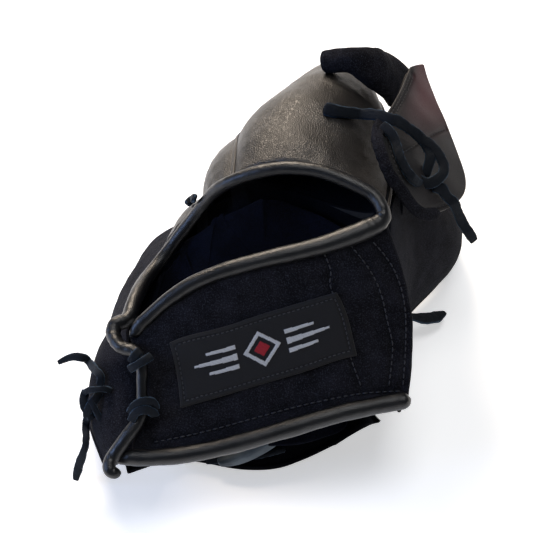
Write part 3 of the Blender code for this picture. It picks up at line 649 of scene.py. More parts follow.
def swept(middle, facing, half_side, half_lift, around, power, relief):
    """Closed bar: superellipses of the given halves carried square to a path, pointed shut at its ends.

    `facing` is where the section's lift axis points. A section's point at angle t is
    side * sign(cos t)|cos t|^(2/power) + lift * sign(sin t)|sin t|^(2/power). `relief` adds to the radius.
    Returns points, faces, each point's place in metres along and around, and how near it is to the sides.
    """
    count = len(middle)
    run = unit(np.gradient(middle, axis=0))
    side = unit(np.cross(run, facing))
    lift = np.cross(side, run)
    angle = np.linspace(0, 2 * np.pi, around, endpoint=False)
    flat_cos = np.sign(np.cos(angle)) * np.abs(np.cos(angle)) ** (2 / power)
    flat_sin = np.sign(np.sin(angle)) * np.abs(np.sin(angle)) ** (2 / power)
    half_side = np.broadcast_to(half_side, (count,))
    half_lift = np.broadcast_to(half_lift, (count,))
    shape = half_side[:, None, None] * side[:, None] * flat_cos[None, :, None] \
        + half_lift[:, None, None] * lift[:, None] * flat_sin[None, :, None]
    if relief is not None:
        shape = shape + unit(shape) * relief[..., None]
    rings = (middle[:, None] + shape).reshape(-1, 3)
    ends = np.stack([middle[0] - run[0] * 0.2 * half_lift[0], middle[-1] + run[-1] * 0.2 * half_lift[-1]])
    points = np.concatenate([rings, ends])
    index = np.arange(count * around).reshape(count, around)
    index = np.concatenate([index, index[:, :1]], axis=1)
    quads = quads_of(index)
    first = [[count * around, index[0, k], index[0, k + 1]] for k in range(around)]
    last = [[count * around + 1, index[-1, k + 1], index[-1, k]] for k in range(around)]
    if volume(points, quads) < 0:
        quads = quads[:, ::-1]
        first = [face[::-1] for face in first]
        last = [face[::-1] for face in last]
    length = lengths(middle)
    girth = angle * (half_side.mean() + half_lift.mean()) / 2
    uv = np.stack(np.meshgrid(length, girth, indexing="ij"), -1).reshape(-1, 2)
    uv = np.concatenate([uv, [[0, 0], [length[-1], 0]]])
    edge = np.concatenate([np.tile(np.abs(flat_cos) ** 3, count), [1.0, 1.0]])
    return points, quads.tolist() + first + last, uv, edge


def eased_ends(count, share):
    """Factor along a bar, 1 in the middle, that falls as a quarter circle over `share` at each end."""
    t = np.linspace(0, 1, count)
    near = np.minimum(t, 1 - t) / share
    return np.sqrt(np.clip(1 - (1 - np.clip(near, 0, 1)) ** 2, 0.03, 1))


def stitches(name, route, up, pitch=3.0 * MM, length=2.3 * MM, radius=0.32 * MM):
    """Row of stitches along a route: each a thread that rises from its hole, lies flat and dips again.

    A stitch is a bar of six sides whose middle follows radius * (0.5 - 1.3 * (2t - 1)^4) above the leather.
    """
    sides = rings = 6
    size = sides * rings
    run = lengths(route)
    starts = np.arange(pitch * 0.3, run[-1] - length, pitch)
    t = np.linspace(0, 1, rings)
    at = starts[:, None] + t[None] * length
    place = read_at(at, run, route)
    over = unit(read_at(at, run, up))
    rise = radius * (0.5 - 1.3 * (2 * t - 1) ** 4)
    middle = place + over * rise[None, :, None]
    way = unit(place[:, -1:] - place[:, :1])
    side = unit(np.cross(way, over))
    lift = np.cross(side, way)
    angle = np.linspace(0, 2 * np.pi, sides, endpoint=False)[None, None, :, None]
    girth = radius * np.array([0.35, 0.9, 1.0, 1.0, 0.9, 0.35])
    ring = middle[:, :, None] + girth[None, :, None, None] * (
        side[:, :, None] * np.cos(angle) + lift[:, :, None] * np.sin(angle))
    points = ring.reshape(-1, 3)
    one = np.arange(size).reshape(rings, sides)
    one = quads_of(np.concatenate([one, one[:, :1]], axis=1))
    quads = (one[None] + size * np.arange(len(starts))[:, None, None]).reshape(-1, 4)
    caps = [[size * k + corner for corner in order] for k in range(len(starts))
            for order in (range(sides), range(size - 1, size - 1 - sides, -1))]
    if volume(points, quads) < 0:
        quads = quads[:, ::-1]
    else:
        caps = [face[::-1] for face in caps]
    new_piece(name, points, quads.tolist() + caps, black_thread, ())


# Satin finger backs: warm brown-black with a fine pebble that breaks up the broad highlight
grain_leather = full_grain("satin_black_grain_cowhide", "#100d0b", "#181410", 0.39, 1.0 * MM, 0.16 * MM)
# Glossier and finer skin of the bindings, which draws the tight bright line along each roll
binding_leather = full_grain("glossy_black_binding_calf", "#050608", "#090a0d", 0.34, 0.9 * MM, 0.08 * MM)
# Waxed web leather, with a painted red reflection at its upper right
tongue_leather = full_grain("waxed_black_web_cowhide", "#120f10", "#181314", 0.45, 0.9 * MM, 0.10 * MM,
                            "#40121b")
# Deep matt black with pale fibre tips, which gives the strap its speckle
suede = napped("black_rough_out_suede", "#0c0c10", "#1a1a20")
lining_suede = napped("navy_black_lining_suede", "#030409", "#070a16", 12 * MM, 0.08, "#303a60", "#0c1022")
# Split side of the hides, which is dark and dull inside the finger stalls
flesh_side = napped("black_flesh_side_of_cowhide", "#030407", "#07080d", 9 * MM, 0.03, "#303a60", "#0c0e16")
# Worn grey-blue lining leather that curls out under the hem
heel_leather = full_grain("grey_blue_heel_lining", "#3c4852", "#66727c", 0.38, 1.0 * MM, 0.12 * MM)
# Dry rough side of the laces, whose cut edges show pale blue
lace_hide = rawhide("dry_blue_black_rawhide", "#0e131a", "#3a546c")
black_thread = thread("bonded_black_thread", "#0b0b0d", "#2c2e36")
badge_cloth = woven("woven_badge_cloth")


def joined(routes, step, rounds):
    """One even line through routes that follow each other, its corners eased by repeated averaging."""
    line = np.concatenate(routes)
    for repeats in (rounds, 0):
        run = lengths(line)
        line = read_at(np.linspace(0, run[-1], int(run[-1] / step)), run, line)
        for _ in range(repeats):
            line[1:-1] = (line[:-2] + 2 * line[1:-1] + line[2:]) / 4
    return line


def sheet_piece(name, outer, inner, look, nodes, grained=False):
    """Piece that is one wall between two grids; a grained one shows its flesh side within."""
    points, quads, uv = closed_wall(outer, inner)
    grain_points = outer[..., 0].size if grained else None
    new_piece(name, points, quads.tolist(), look, nodes, uv, None, grain_points)


def bar_piece(name, middle, facing, half_side, half_lift, look, nodes, around, power=2.0, relief=None):
    """Piece that is one bar swept along a path."""
    points, faces, uv, _ = swept(middle, facing, half_side, half_lift, around, power, relief)
    new_piece(name, points, faces, look, nodes, uv)


def finger_piece(name, surface, stations, columns, side, height, round_from, look, slot, swell, count,
                 relief):
    """One leather wall of a finger between two skins whose edges lie on the seam surface.

    `stations` holds its first and last station and its count of rows, and `count` its count of columns.
    A finger's back also gets a welt round its edge.
    """
    start, end, rows = stations
    u = np.linspace(start, end, rows)
    a = spread(count)
    middle = np.linspace(start, end, 7)
    ends = read(surface, middle, np.tile(np.array(columns, float), (7, 1)))
    share = (columns[1] - columns[0]) / np.linalg.norm(ends[:, 1] - ends[:, 0], axis=-1).mean()
    clear = GAP / 2 * share
    outer = wall(surface, u, a, columns, side, height, round_from, end, clear, swell)
    # The inner skin stops short of the tip, so that the wall closes there
    reach = 0.97
    inner = wall(surface, start + (u - start) * reach, a, columns, side, height - LEATHER, round_from,
                 start + (end - start) * reach, clear + LEATHER * share,
                 (height * swell - LEATHER) / (height - LEATHER))
    outer = outer + side * relief(u, a, outer)[..., None] * outward(
        surface, u, np.tile(np.linspace(columns[0], columns[1], count), (rows, 1)))
    sheet_piece(name + "_panel", floored(outer), floored(inner, LEATHER), look, (name,), True)
    if name.endswith("_back"):
        route = joined([outer[:, 0], outer[-1], outer[::-1, -1]], 1.2 * MM, 3)
        bar_piece(name + "_welt", floored(route, 1.1 * WELT_RADIUS), TO_EYE, WELT_RADIUS, WELT_RADIUS,
                  look, (), 12)


def back_relief(u, a, grid):
    """Relief of a finger's back: soft dents, and short gathers that run back from the finger hole."""
    lane = np.sin(np.pi * a)[None] ** 0.5
    soft = 0.45 * MM * uneven(grid, 30 * MM, 5) + 0.10 * MM * uneven(grid, 7 * MM, 6)
    gathers = 0.25 * MM * np.exp(-u / 0.22)[:, None] * np.sin(2 * np.pi * 5 * a + 3 * u[:, None])
    return (soft + gathers) * lane


def suede_relief(u, a, grid):
    """Relief of a suede panel: slow dents and a few shallow folds, with no need of the stations u."""
    lane = np.sin(np.pi * a)[None] ** 0.5
    return (0.5 * MM * uneven(grid, 34 * MM, 11) + 0.18 * MM * uneven(grid, 9 * MM, 12)) * lane


for name, (first, last, height, depth) in FINGER_WALLS.items():
    if name == "pinky":
        surface = pinky_surface
        back = (suede, "rough_leather", PINKY_SWELL, 56, suede_relief)
        stations = (PINKY_BACK_FROM - len(PINKY), 4, 150)
    else:
        surface = finger_surface
        back = (grain_leather, "smooth_leather", BACK_SWELL, 96 if name == "index" else 56, back_relief)
        stations = (0, 4, 90)
    finger_piece(name + "_back", surface, stations, (first, last), 1, height, FINGER_ROUND_FROM, *back)
    finger_piece(name + "_front", surface, (0, 4, 60), (first, last), -1, depth, FINGER_ROUND_FROM,
                 grain_leather, "smooth_leather", 1.0, 40, suede_relief)

finger_piece("thumb_back", thumb_surface, (THUMB_BACK_FROM, 5, 120), (0, 1), -1, THUMB_BACK, THUMB_ROUND_FROM,
             suede, "rough_leather", THUMB_SWELL, 64, suede_relief)
finger_piece("thumb_front", thumb_surface, (THUMB_FRONT_FROM, 5, 60), (0, 1), 1, THUMB_FRONT,
             THUMB_ROUND_FROM, grain_leather, "smooth_leather", 1.0, 40, suede_relief)


def on_surface(surface, route, step=1.0 * MM):
    """Points and normals every `step` along a route of stations and columns on a surface."""
    at = natural(route, np.linspace(0, len(route) - 1, 400))
    points = read(surface, at[:, 0], at[:, 1:])[:, 0]
    up = outward(surface, at[:, 0], at[:, 1:])[:, 0]
    run = lengths(points)
    even = np.linspace(0, run[-1], max(int(run[-1] / step), 3))
    return read_at(even, run, points), unit(read_at(even, run, up))


def strap_piece():
    """Suede wrist strap: soft swell between its stitch rows, each row pulled in, and a cut edge."""
    u = np.linspace(0.02, 2.96, 130)
    s = np.linspace(0.02, 3.99, 200)
    grid = strap_surface(u, s)
    up = normals(grid)
    push = 0.45 * MM * uneven(grid, 26 * MM, 21) + 0.12 * MM * uneven(grid, 8 * MM, 22)
    for k, row in enumerate(STRAP_STITCHES):
        points, over = on_surface(strap_surface, row)
        push = push - 0.7 * MM * nearness(grid, points, 1.6 * MM)
        stitches("strap_stitches_%d" % (k + 1), points - over * 0.35 * MM, over)
    sheet_piece("strap_suede", grid + up * push[..., None], grid - up * STRAP_LEATHER, suede,
                ("wrist_strap",))


strap_piece()


def roll_piece(name, middle, nodes, swell, gathers):
    """Binding rolled over a core: a round bar with fine cross wrinkles and a sewn-in groove along it.

    `swell` is a table of (share of the length, radius). The radius gains about 0.1 mm of unevenness, and
    each gather (point, reach, height) adds folds and waves 3.4 mm long whose height falls as a bell round it.
    """
    count = len(middle)
    t = np.linspace(0, 1, count)
    size = np.interp(t, *zip(*swell))
    length = lengths(middle)[-1]
    angle = np.linspace(0, 2 * np.pi, ROLL_SIDES, endpoint=False)
    ring = np.stack([np.cos(angle), np.sin(angle)], -1) * ROLL_RADIUS
    spot = np.concatenate([np.repeat(t[:, None, None] * length, ROLL_SIDES, 1),
                           np.repeat(ring[None], count, 0)], -1)
    relief = 0.09 * MM * uneven(spot, 11 * MM, 31) + 0.03 * MM * uneven(spot, 3.5 * MM, 32)
    for point, reach, height in gathers:
        bell = np.exp(-((middle - point) ** 2).sum(1) / reach ** 2)[:, None]
        wave = np.sin(2 * np.pi * spot[..., 0] / (3.4 * MM) + 1.6 * np.sin(angle + spot[..., 0] / (4 * MM)))
        relief = relief + height * bell * (0.3 * wave + uneven(spot, 8 * MM, 33))
    groove = np.exp(-((angle - 1.5 * np.pi) / 0.16) ** 2)[None]
    relief = relief - 0.5 * MM * groove
    radius = size * eased_ends(count, 4 * MM / length)
    bar_piece(name, middle, ROLL_FACES, radius, radius, binding_leather, nodes, ROLL_SIDES,
              relief=relief)


hem = strap_surface(np.zeros(1), np.linspace(0, 4, 60))[0]
tucked = hem[0] + np.array([[-8.0, 1.5, -1.5], [-5.0, 1.0, -0.8], [-2.5, 0.4, -0.3]]) * MM
hem = np.concatenate([tucked, hem, hem[-1:] + np.array([[1.6, 0.4, 0.2]]) * MM])
roll_piece("hem_binding", joined([hem], 0.7 * MM, 4), ("hem_roll",),
           [(0, 3.2 * MM), (0.12, 3.9 * MM), (0.6, 4.1 * MM), (1, 4.0 * MM)],
           [(hem[0], 9 * MM, 0.14 * MM), (hem[-1], 8 * MM, 0.14 * MM)])

lower = strap_surface(np.full(1, 3.0), np.linspace(0, TOP_ROLL_END, 60))[0]
upper = smooth_path(sized(RIM), 2.0 * MM)
strap_end = smooth_path(sized(END_ROLL), 2.0 * MM)
right_turn = (lower[-1] + upper[0]) / 2 + np.array([[2.6 * MM, -0.6 * MM, 0.0]])
route = joined([lower, right_turn, upper, strap_end], 0.6 * MM, 14)
# Shares of the whole length at which the lower rim ends and the strap's end begins
first = lengths(lower)[-1] / lengths(route)[-1]
last = 1 - lengths(strap_end)[-1] / lengths(route)[-1]
roll_piece("rim_and_strap_end_binding", route, ("lower_rim_roll", "upper_rim_roll", "strap_end_roll"),
           [(0, 3.0 * MM), (0.45 * first, 3.6 * MM), (0.7 * first, 4.0 * MM), (0.95 * first, 4.7 * MM),
            (1.03 * first, 3.5 * MM), (1.12 * first, 3.2 * MM), (0.6 * (first + last), 3.0 * MM),
            (last - 0.03, 3.6 * MM), (last + 0.03, 3.1 * MM), (last + 0.08, 2.4 * MM),
            (0.5 * (1 + last), 2.5 * MM), (0.35 + 0.65 * last, 2.5 * MM), (0.7 + 0.3 * last, 3.2 * MM),
            (1, 2.9 * MM)],
           [(right_turn[0], 10 * MM, 0.42 * MM), (upper[-1], 11 * MM, 0.20 * MM),
            (strap_end[6], 8 * MM, 0.18 * MM), (strap_end[-4], 7 * MM, 0.16 * MM),
            (lower[0], 8 * MM, 0.26 * MM)])


def front_skins(count):
    """Rear edges of the finger and thumb fronts, in one row from the pinky seam to the thumb seam.

    Returns the outer and inner edge, moved back by PALM_GAP, and each point's column in the palm table.
    """
    outer, inner, columns = [], [], []
    a = spread(count)
    walls = [(pinky_surface if name == "pinky" else finger_surface, 0, 4, span[:2], -1, span[3],
              FINGER_ROUND_FROM, at) for (name, span), at in zip(FINGER_WALLS.items(), PALM_FINGER_COLUMNS)]
    walls.append((thumb_surface, THUMB_FRONT_FROM, 5, (0, 1), 1, THUMB_FRONT, THUMB_ROUND_FROM,
                  PALM_THUMB_COLUMNS))
    for surface, start, end, (first, last), side, depth, round_from, (low, high) in walls:
        middle = np.linspace(start, end, 7)
        ends = read(surface, middle, np.tile([float(first), float(last)], (7, 1)))
        share = (last - first) / np.linalg.norm(ends[:, 1] - ends[:, 0], axis=-1).mean()
        u = np.array([start, start + 0.05])
        skins = [wall(surface, u, a, (first, last), side, depth - thick, round_from, end,
                      (GAP / 2 + thick) * share) for thick in (0, LEATHER)]
        back = PALM_GAP * unit(skins[0][0] - skins[0][1])
        turn = slice(None, None, -1) if side > 0 else slice(None)
        outer.append((skins[0][0] + back)[turn])
        inner.append((skins[1][0] + back)[turn])
        columns.append(low + (high - low) * a)
    return np.concatenate(outer), np.concatenate(inner), np.concatenate(columns)


def palm_skins(along, lift, thickness):
    """Lower and upper skin of a layer that lies `lift` above the pocket side of the palm."""
    outer, inner, columns = front_skins(9)
    rows = natural(np.swapaxes(sized(PALM), 0, 1), columns).swapaxes(0, 1)
    low = natural(np.concatenate([rows, outer[None]]), along)
    up = normals(low)
    ends = unit(inner - outer)
    blend = np.clip((np.asarray(along) - 2) / 1.0, 0, 1)[:, None, None] ** 2
    up = unit(up * (1 - blend) + ends[None] * blend)
    return low + lift * up, low + (lift + thickness) * up


def smoother(grid, rows, columns):
    """Grid read again on more rows and columns, by natural splines through its own points."""
    fine = natural(grid, np.linspace(0, len(grid) - 1, rows))
    return natural(np.swapaxes(fine, 0, 1), np.linspace(0, grid.shape[1] - 1, columns)).swapaxes(0, 1)


low, high = palm_skins(np.linspace(0, 3, 11), 0.0, PALM_LEATHER)
low, high = (smoother(skin[:, 2:-4], 110, 220) for skin in (low, high))
points, quads, uv = closed_wall(floored(low), floored(high, PALM_LEATHER))
# The palm's top edge turns over inside the open back, so its flesh side shows there
turned = {"flesh_and_painted_shade": np.clip((points[:, 2] - 94 * MM) / (4 * MM), 0, 1)}
new_piece("palm_leather", points, quads.tolist(), grain_leather, ("palm",), uv, turned,
          low[..., 0].size)
low, high = palm_skins(np.linspace(0.3, 2.75, 8), PALM_LEATHER + LINING_LIFT, LINING)
low, high = (smoother(skin[:, 6:-10], 90, 180) for skin in (low, high))
soft = 0.7 * MM * uneven(high, 22 * MM, 41)[..., None] * normals(high)
sheet_piece("palm_lining", low, high + soft, lining_suede, ("hand_lining",))


def patch_piece():
    """Woven badge on the strap: a dark ground, a sewn border and a plain lozenge between tapered bars."""
    rows, columns = 120, 330
    across, along = np.meshgrid(np.linspace(0, 1, columns), np.linspace(0, 1, rows))
    few = lattice(PATCH_EDGES, np.linspace(0, 1, 8), np.linspace(0, 4, 24))
    base = np.stack([read(strap_surface, row[:, 0], row[:, 1:])[:, 0] for row in few])
    base = smoother(base, rows, columns)
    up = normals(base)
    width, height = np.array(BADGE_SIZE) / MM
    x = (across - 0.5) * width
    y = (along - 0.5) * height
    lozenge = np.abs(x) / 9.0 + np.abs(y) / 8.0
    ring = np.abs(lozenge - 0.85) < 0.13
    heart = lozenge < 0.42
    taper = 1 - np.clip((np.abs(x) - 11) / 20, 0, 1)
    bars = np.zeros_like(x, bool)
    for level, size in ((0.0, 1.4), (4.2, 1.0), (-4.2, 1.0)):
        reach = 31 - 6 * (level != 0)
        bars |= (np.abs(y - level) < size * (0.35 + 0.65 * taper)) & (np.abs(x) > 11.5) & (np.abs(x) < reach)
    dye = np.empty(x.shape + (4,))
    dye[:] = colour("#111115")
    dye[bars | ring] = colour("#c9cbd0")
    dye[heart] = colour("#a31c2b")
    raised = (bars | ring | heart) * 0.35 * MM
    border = np.minimum(width / 2 - np.abs(x), height / 2 - np.abs(y))
    fold = 0.5 * MM * np.clip(border / 1.2, 0, 1)
    sewn = -0.35 * MM * np.exp(-((border - 2.0) / 0.7) ** 2)
    outer = base + up * (GAP + PATCH * 0.5 + fold + sewn + raised)[..., None]
    points, quads, uv = closed_wall(outer, base + up * GAP * 0.2)
    extra = len(points) - 2 * rows * columns
    paint = np.concatenate([dye.reshape(-1, 4), dye.reshape(-1, 4), np.tile(colour("#1d1d21"), (extra, 1))])
    item = new_piece("badge", points, quads.tolist(), badge_cloth, ("label_patch",), uv,
                     {"dye": paint})
    left, low = 2.0 / width, 2.0 / height
    corners = [(left, low), (1 - left, low), (1 - left, 1 - low), (left, 1 - low)]
    for k, (start, stop) in enumerate(zip(corners, corners[1:] + corners[:1])):
        t = np.linspace(0, 1, 60)[:, None]
        spot = np.array(start) * (1 - t) + np.array(stop) * t
        i = np.clip((spot[:, 1] * (rows - 1)).round().astype(int), 0, rows - 1)
        j = np.clip((spot[:, 0] * (columns - 1)).round().astype(int), 0, columns - 1)
        stitches("badge_stitches_%d" % (k + 1), outer[i, j], up[i, j], 2.2 * MM, 1.6 * MM,
                 0.26 * MM)
    return item


patch_piece()


def crossbar_piece():
    """Suede wrapped round the web's crossbar: ellipses square to a smooth path, with soft dents over it."""
    around = 56
    along = np.linspace(0, len(BAR) - 1, 200)
    table = np.array(BAR)
    middle = natural(table[:, :3] * SIZES, along)
    half = natural(table[:, 3:] * (BAR_HALF, BAR_DEPTH), along)
    share = np.clip((along - 2.0) / 1.5, 0, 1)[:, None]
    run = unit(np.gradient(middle, axis=0))
    wide = unit(np.cross(run, (1 - share) * np.array(BAR_FACES[0]) + share * np.array(BAR_FACES[1])))
    deep = np.cross(run, wide)
    angle = np.linspace(0, 2 * np.pi, around, endpoint=False)
    spot = middle[:, None] + (np.cos(angle)[None, :, None] * (wide * half[:, :1])[:, None]
                              + np.sin(angle)[None, :, None] * (deep * half[:, 1:])[:, None])
    relief = 0.35 * MM * uneven(spot, 16 * MM, 51) + 0.15 * MM * uneven(spot, 5 * MM, 52)
    ease = eased_ends(len(along), 0.025)
    bar_piece("crossbar_suede", middle, deep, half[:, 0] * ease, half[:, 1] * ease, suede, ("web_crossbar",),
              around, 2.2, relief)


crossbar_piece()


def tongue_piece():
    """Web tongue: two layers of leather with a slit between them, a suede welt, edge rows and a cross row."""
    u = np.linspace(0, 5, 150)
    s = np.linspace(0, 2, 90)
    grid = tongue_surface(u, s)
    up = normals(grid)
    side = np.sign((up * TO_EYE).sum(-1).mean())
    up *= side
    layer = TONGUE_LEATHER / 2 - 0.15 * MM
    push = 0.15 * MM * uneven(grid, 20 * MM, 61)
    for k, row in enumerate(TONGUE_STITCHES):
        points, over = on_surface(tongue_surface, row)
        over = over * side
        push = push - 0.4 * MM * nearness(grid, points, 1.0 * MM)
        stitches("tongue_stitches_%d" % (k + 1), points - over * 0.15 * MM, over, 2.6 * MM,
                 1.9 * MM, 0.27 * MM)
    top = grid + up * push[..., None]
    points, quads, uv = closed_wall(top, grid - up * layer)
    high, far = np.meshgrid(u, s, indexing="ij")
    # Painted red reflection towards the tongue's upper right
    painted_red_reflection = np.clip((high - 2.3) / 1.6, 0, 1) * np.clip((far - 0.5) / 0.9, 0, 1)
    # Painted shade at the tongue's lower left, under the web loop, drawn as the dark dull flesh side
    rough = np.clip(1.25 - np.hypot((high - 1.7) / 1.9, (far - 0.25) / 0.75), 0, 1)
    values = {key: np.pad(value.ravel(), (0, len(points) - value.size))
              for key, value in (("flesh_and_painted_shade", rough), ("painted_red_reflection", painted_red_reflection))}
    new_piece("tongue_upper_layer", points, quads.tolist(), tongue_leather, ("web_tongue",),
              uv, values, top[..., 0].size)
    grid = tongue_surface(np.linspace(0.22, 4.9, 120), np.linspace(0.12, 1.94, 60))
    up = normals(grid) * side
    sheet_piece("tongue_under_layer", grid - up * (layer + 0.3 * MM), grid - up * TONGUE_LEATHER,
                tongue_leather, ())
    left = tongue_surface(np.linspace(3.5, 0.15, 60), np.full(1, 0.0))[:, 0]
    below = tongue_surface(np.full(1, 0.0), np.linspace(0.15, 1.6, 40))[0]
    route = joined([left, below], 0.7 * MM, 4) + np.array([-0.6, -0.8, 0.3]) * MM
    share = eased_ends(len(route), 0.08)
    relief = 0.15 * MM * uneven(np.repeat(route[:, None], LACE_SIDES, 1), 5 * MM, 62)
    bar_piece("tongue_welt", route, TO_EYE, 2.9 * MM * share, 1.5 * MM * share, suede, (),
              LACE_SIDES, 3.0, relief)


tongue_piece()


def lace_piece(name, route, nodes, facing=TO_EYE, width=LACE_WIDTH, thickness=LACE_THICKNESS, seed=71):
    """Flat rawhide lace: a rounded strip along its route, its width a little uneven.

    `width` is one width in metres or a table of (share of the length, width).
    Returns the piece and the line along its middle, where it stands in the scene.
    """
    middle = smooth_path(route, 0.6 * MM)
    count = len(middle)
    ends = eased_ends(count, 0.02)
    flat = np.c_[middle[:, 0], np.full(count, seed), middle[:, 2]]
    wide = np.full(count, width) if np.isscalar(width) else np.interp(np.linspace(0, 1, count), *zip(*width))
    half = wide / 2 * (1 + 0.07 * uneven(flat, 7 * MM, seed)) * ends
    spot = np.repeat(middle[:, None], LACE_SIDES, 1) + np.arange(LACE_SIDES)[None, :, None] * MM
    points, faces, uv, edge = swept(middle, facing, half, thickness / 2 * ends, LACE_SIDES, 3.4,
                                    0.12 * MM * uneven(spot, 3 * MM, seed))
    item = new_piece(name, points, faces, lace_hide, nodes, uv, {"edge": edge})
    return item, middle + CENTRING


def beside(origin, table):
    """Points from rows of (right, up, towards the eye) in millimetres, counted from an origin."""
    table = np.asarray(table, float) * MM
    return origin + table[:, :1] * [1, 0, 0] + table[:, 1:2] * UP_VIEW + table[:, 2:] * TO_EYE


web_left, web_loop, web_right = (sized(table) for table in (WEB_LEFT, WEB_LOOP, WEB_RIGHT))
crossing = beside(web_left[-1], [(-1.6, -6.3, 0.6), (-2.6, -9.6, 0.2)])
lace_piece("web_tail_left", np.concatenate([web_left, crossing])[::-1], ("web_lace_left",),
                 width=[(0, 5.0 * MM), (1, 5.8 * MM)])
# The second ply runs beside the first, then over the front of it as the knot's one turn
lace_piece("web_knot_wrap", beside(web_left[-1], [
    (-5.5, 8.6, -2.2), (-2.0, 7.4, -1.2), (1.4, 4.6, -0.6), (4.2, 0.6, 0.2), (6.2, -4.4, 1.2),
    (5.0, -9.0, 2.8), (0.6, -12.4, 3.6), (-3.4, -12.6, 3.2), (-7.3, -10.2, 2.4)]), ("web_knot",),
    width=5.0 * MM, seed=73)
lace_piece("web_loop", np.concatenate([
    beside(web_left[-1], [(-3.6, -14.0, -0.6)]), web_loop[:-1],
    beside(web_loop[-2], [(-2.4, 4.8, -0.8), (-6.6, 9.0, -2.4)])]), ("web_lace_loop",), width=4.6 * MM)
lace_piece("web_tail_right", np.concatenate([beside(web_right[0], [(-4.3, 1.0, 1.2)]), web_right]),
                 ("web_lace_right",), width=[(0, 5.2 * MM), (0.8, 5.2 * MM), (1, 3.8 * MM)])

# Each wrap is an arched ply over the roll with a darker one beside it, its feet tucked into holes
wraps = {
    "upper": (
        SIDE_UPPER,
        [(3.9, 4.3, -2.0), (1.7, 2.8, 0.7), (-1.0, 1.3, 1.2), (-3.6, -0.3, 0.2), (-5.8, -1.8, -2.2)],
        [(-1.0, 6.6, -2.0), (-2.4, 5.4, -0.4), (-3.8, 3.6, -0.4), (-5.2, 1.4, -2.2)]),
    "lower": (
        SIDE_LOWER,
        [(-5.8, -3.9, -3.0), (-3.6, -0.4, -0.3), (-0.1, 1.8, 1.1), (4.4, 1.4, -0.4), (5.8, -2.2, -2.8)],
        [(-5.2, -7.6, -3.0), (-3.0, -3.6, -0.1), (1.0, -1.9, 1.0), (4.6, -3.4, -1.2), (5.6, -5.4, -3.0)]),
}
for name, (table, over, under) in wraps.items():
    middle = sized(table)[2]
    lace_piece("side_wrap_" + name, beside(middle, over), ("side_lace_" + name,), width=3.6 * MM,
               thickness=2.0 * MM, seed=75)
    lace_piece("side_wrap_%s_ply" % name, beside(middle, under), (), width=3.8 * MM, thickness=1.8 * MM,
               seed=76)

# The side knot's plies: point of the knot, nodes, width and thickness in millimetres, seed, and the route
band, bend, _ = sized(SIDE_KNOT)
plies = {
    "band": (band, ("side_knot",), 2.8, 2.4, 77, [
        (6.0, -0.2, -0.8), (3.2, 1.0, 1.0), (-0.8, 0.8, 1.4), (-4.4, 0.2, -1.0), (-7.0, -1.6, -4.6)]),
    "left": (bend, (), 4.2, 2.2, 78, [
        (-1.0, 3.0, 0.8), (-2.0, -1.0, 2.2), (-1.4, -4.6, 2.4), (0.4, -8.0, 1.4), (1.8, -11.0, 0.8)]),
    "under": (bend, (), 4.0, 2.4, 80, [
        (5.4, 2.4, 1.6), (3.8, -0.6, 2.8), (1.8, -3.4, 3.2), (-0.2, -7.0, 2.4), (-0.6, -9.6, 1.0)]),
    "cross": (bend, (), 3.0, 2.0, 79, [
        (1.0, -1.2, 3.2), (2.4, -3.6, 3.9), (4.2, -7.2, 3.4), (6.2, -11.4, 2.4)]),
}
for name, (origin, nodes, width, thickness, seed, route) in plies.items():
    lace_piece("side_knot_" + name, beside(origin, route), nodes, width=width * MM, thickness=thickness * MM,
               seed=seed)
up_route = sized(SIDE_TAIL_A)
lace_piece("side_tail_upper", np.concatenate([beside(up_route[0], [(-0.6, -4.6, -0.4)]), up_route]),
                 ("side_lace_tail_a",), thickness=2.2 * MM,
                 width=[(0, 3.6 * MM), (0.4, 4.0 * MM), (0.8, 3.4 * MM), (1, 2.4 * MM)])
lace_piece("side_tail_lower", sized(SIDE_TAIL_B), ("side_lace_tail_b",), thickness=2.2 * MM,
                 width=[(0, 3.6 * MM), (0.5, 3.4 * MM), (0.85, 4.0 * MM), (1, 2.8 * MM)])
lace_piece("thumb_lace", sized(THUMB_END), ("thumb_lace_end",), (0.0, -0.3, 0.95), [
    (0, 3.6 * MM), (0.4, 6.4 * MM), (0.75, 6.8 * MM), (1, 2.4 * MM)])
lace_piece("ring_lace", sized(RING_END), ("ring_lace_end",), width=4.0 * MM)
lace_piece("heel_lace_left", sized(HEEL_A), ("heel_lace_a",))
lace_piece("heel_lace_right", sized(HEEL_B), ("heel_lace_b",), width=[(0, 4 * MM), (1, 2.4 * MM)])


def small_sheet(name, origin, rows, thickness, look):
    """Small sheet of leather through rows of (right, up, towards the eye) points counted from an origin."""
    rows = np.stack([beside(origin, row) for row in rows])
    grid = smoother(rows, 30, 50)
    up = normals(grid)
    sheet_piece(name, floored(grid, 0.4 * MM), floored(grid - up * thickness), look, ())


# Turned-in end of the heel's lining, the one pale thing under the hem
small_sheet("heel_lining_fold", sized(HEEL_B)[0], [
    [(-11.0, -1.4, 0.4), (-3.0, 1.6, 2.0), (6.0, 6.4, 2.6), (14.0, 12.4, 1.6), (20.0, 19.4, 0.4)],
    [(-10.4, -2.8, 1.6), (-2.0, -0.4, 3.2), (7.4, 4.2, 3.6), (16.0, 10.4, 2.6), (23.0, 18.0, 1.0)],
    [(-9.4, -4.0, 1.4), (-0.6, -2.4, 2.2), (9.0, 1.8, 2.4), (18.4, 8.0, 1.6), (26.0, 16.4, 0.4)]], 1.2 * MM,
    heel_leather)
# Suede between the thumb and the first finger, behind the web's foot
small_sheet("thumb_gusset", sized(THUMB)[2][-1], [
    [(-7.0, 8.4, -6.0), (-1.5, 9.4, -5.5), (4.0, 10.0, -6.0)],
    [(-6.0, 0.6, -4.0), (-1.2, 0.6, -3.5), (3.6, 0.6, -4.0)],
    [(-5.0, -8.0, -3.5), (-0.8, -9.0, -3.2), (3.4, -9.8, -4.0)]], 1.4 * MM, suede)


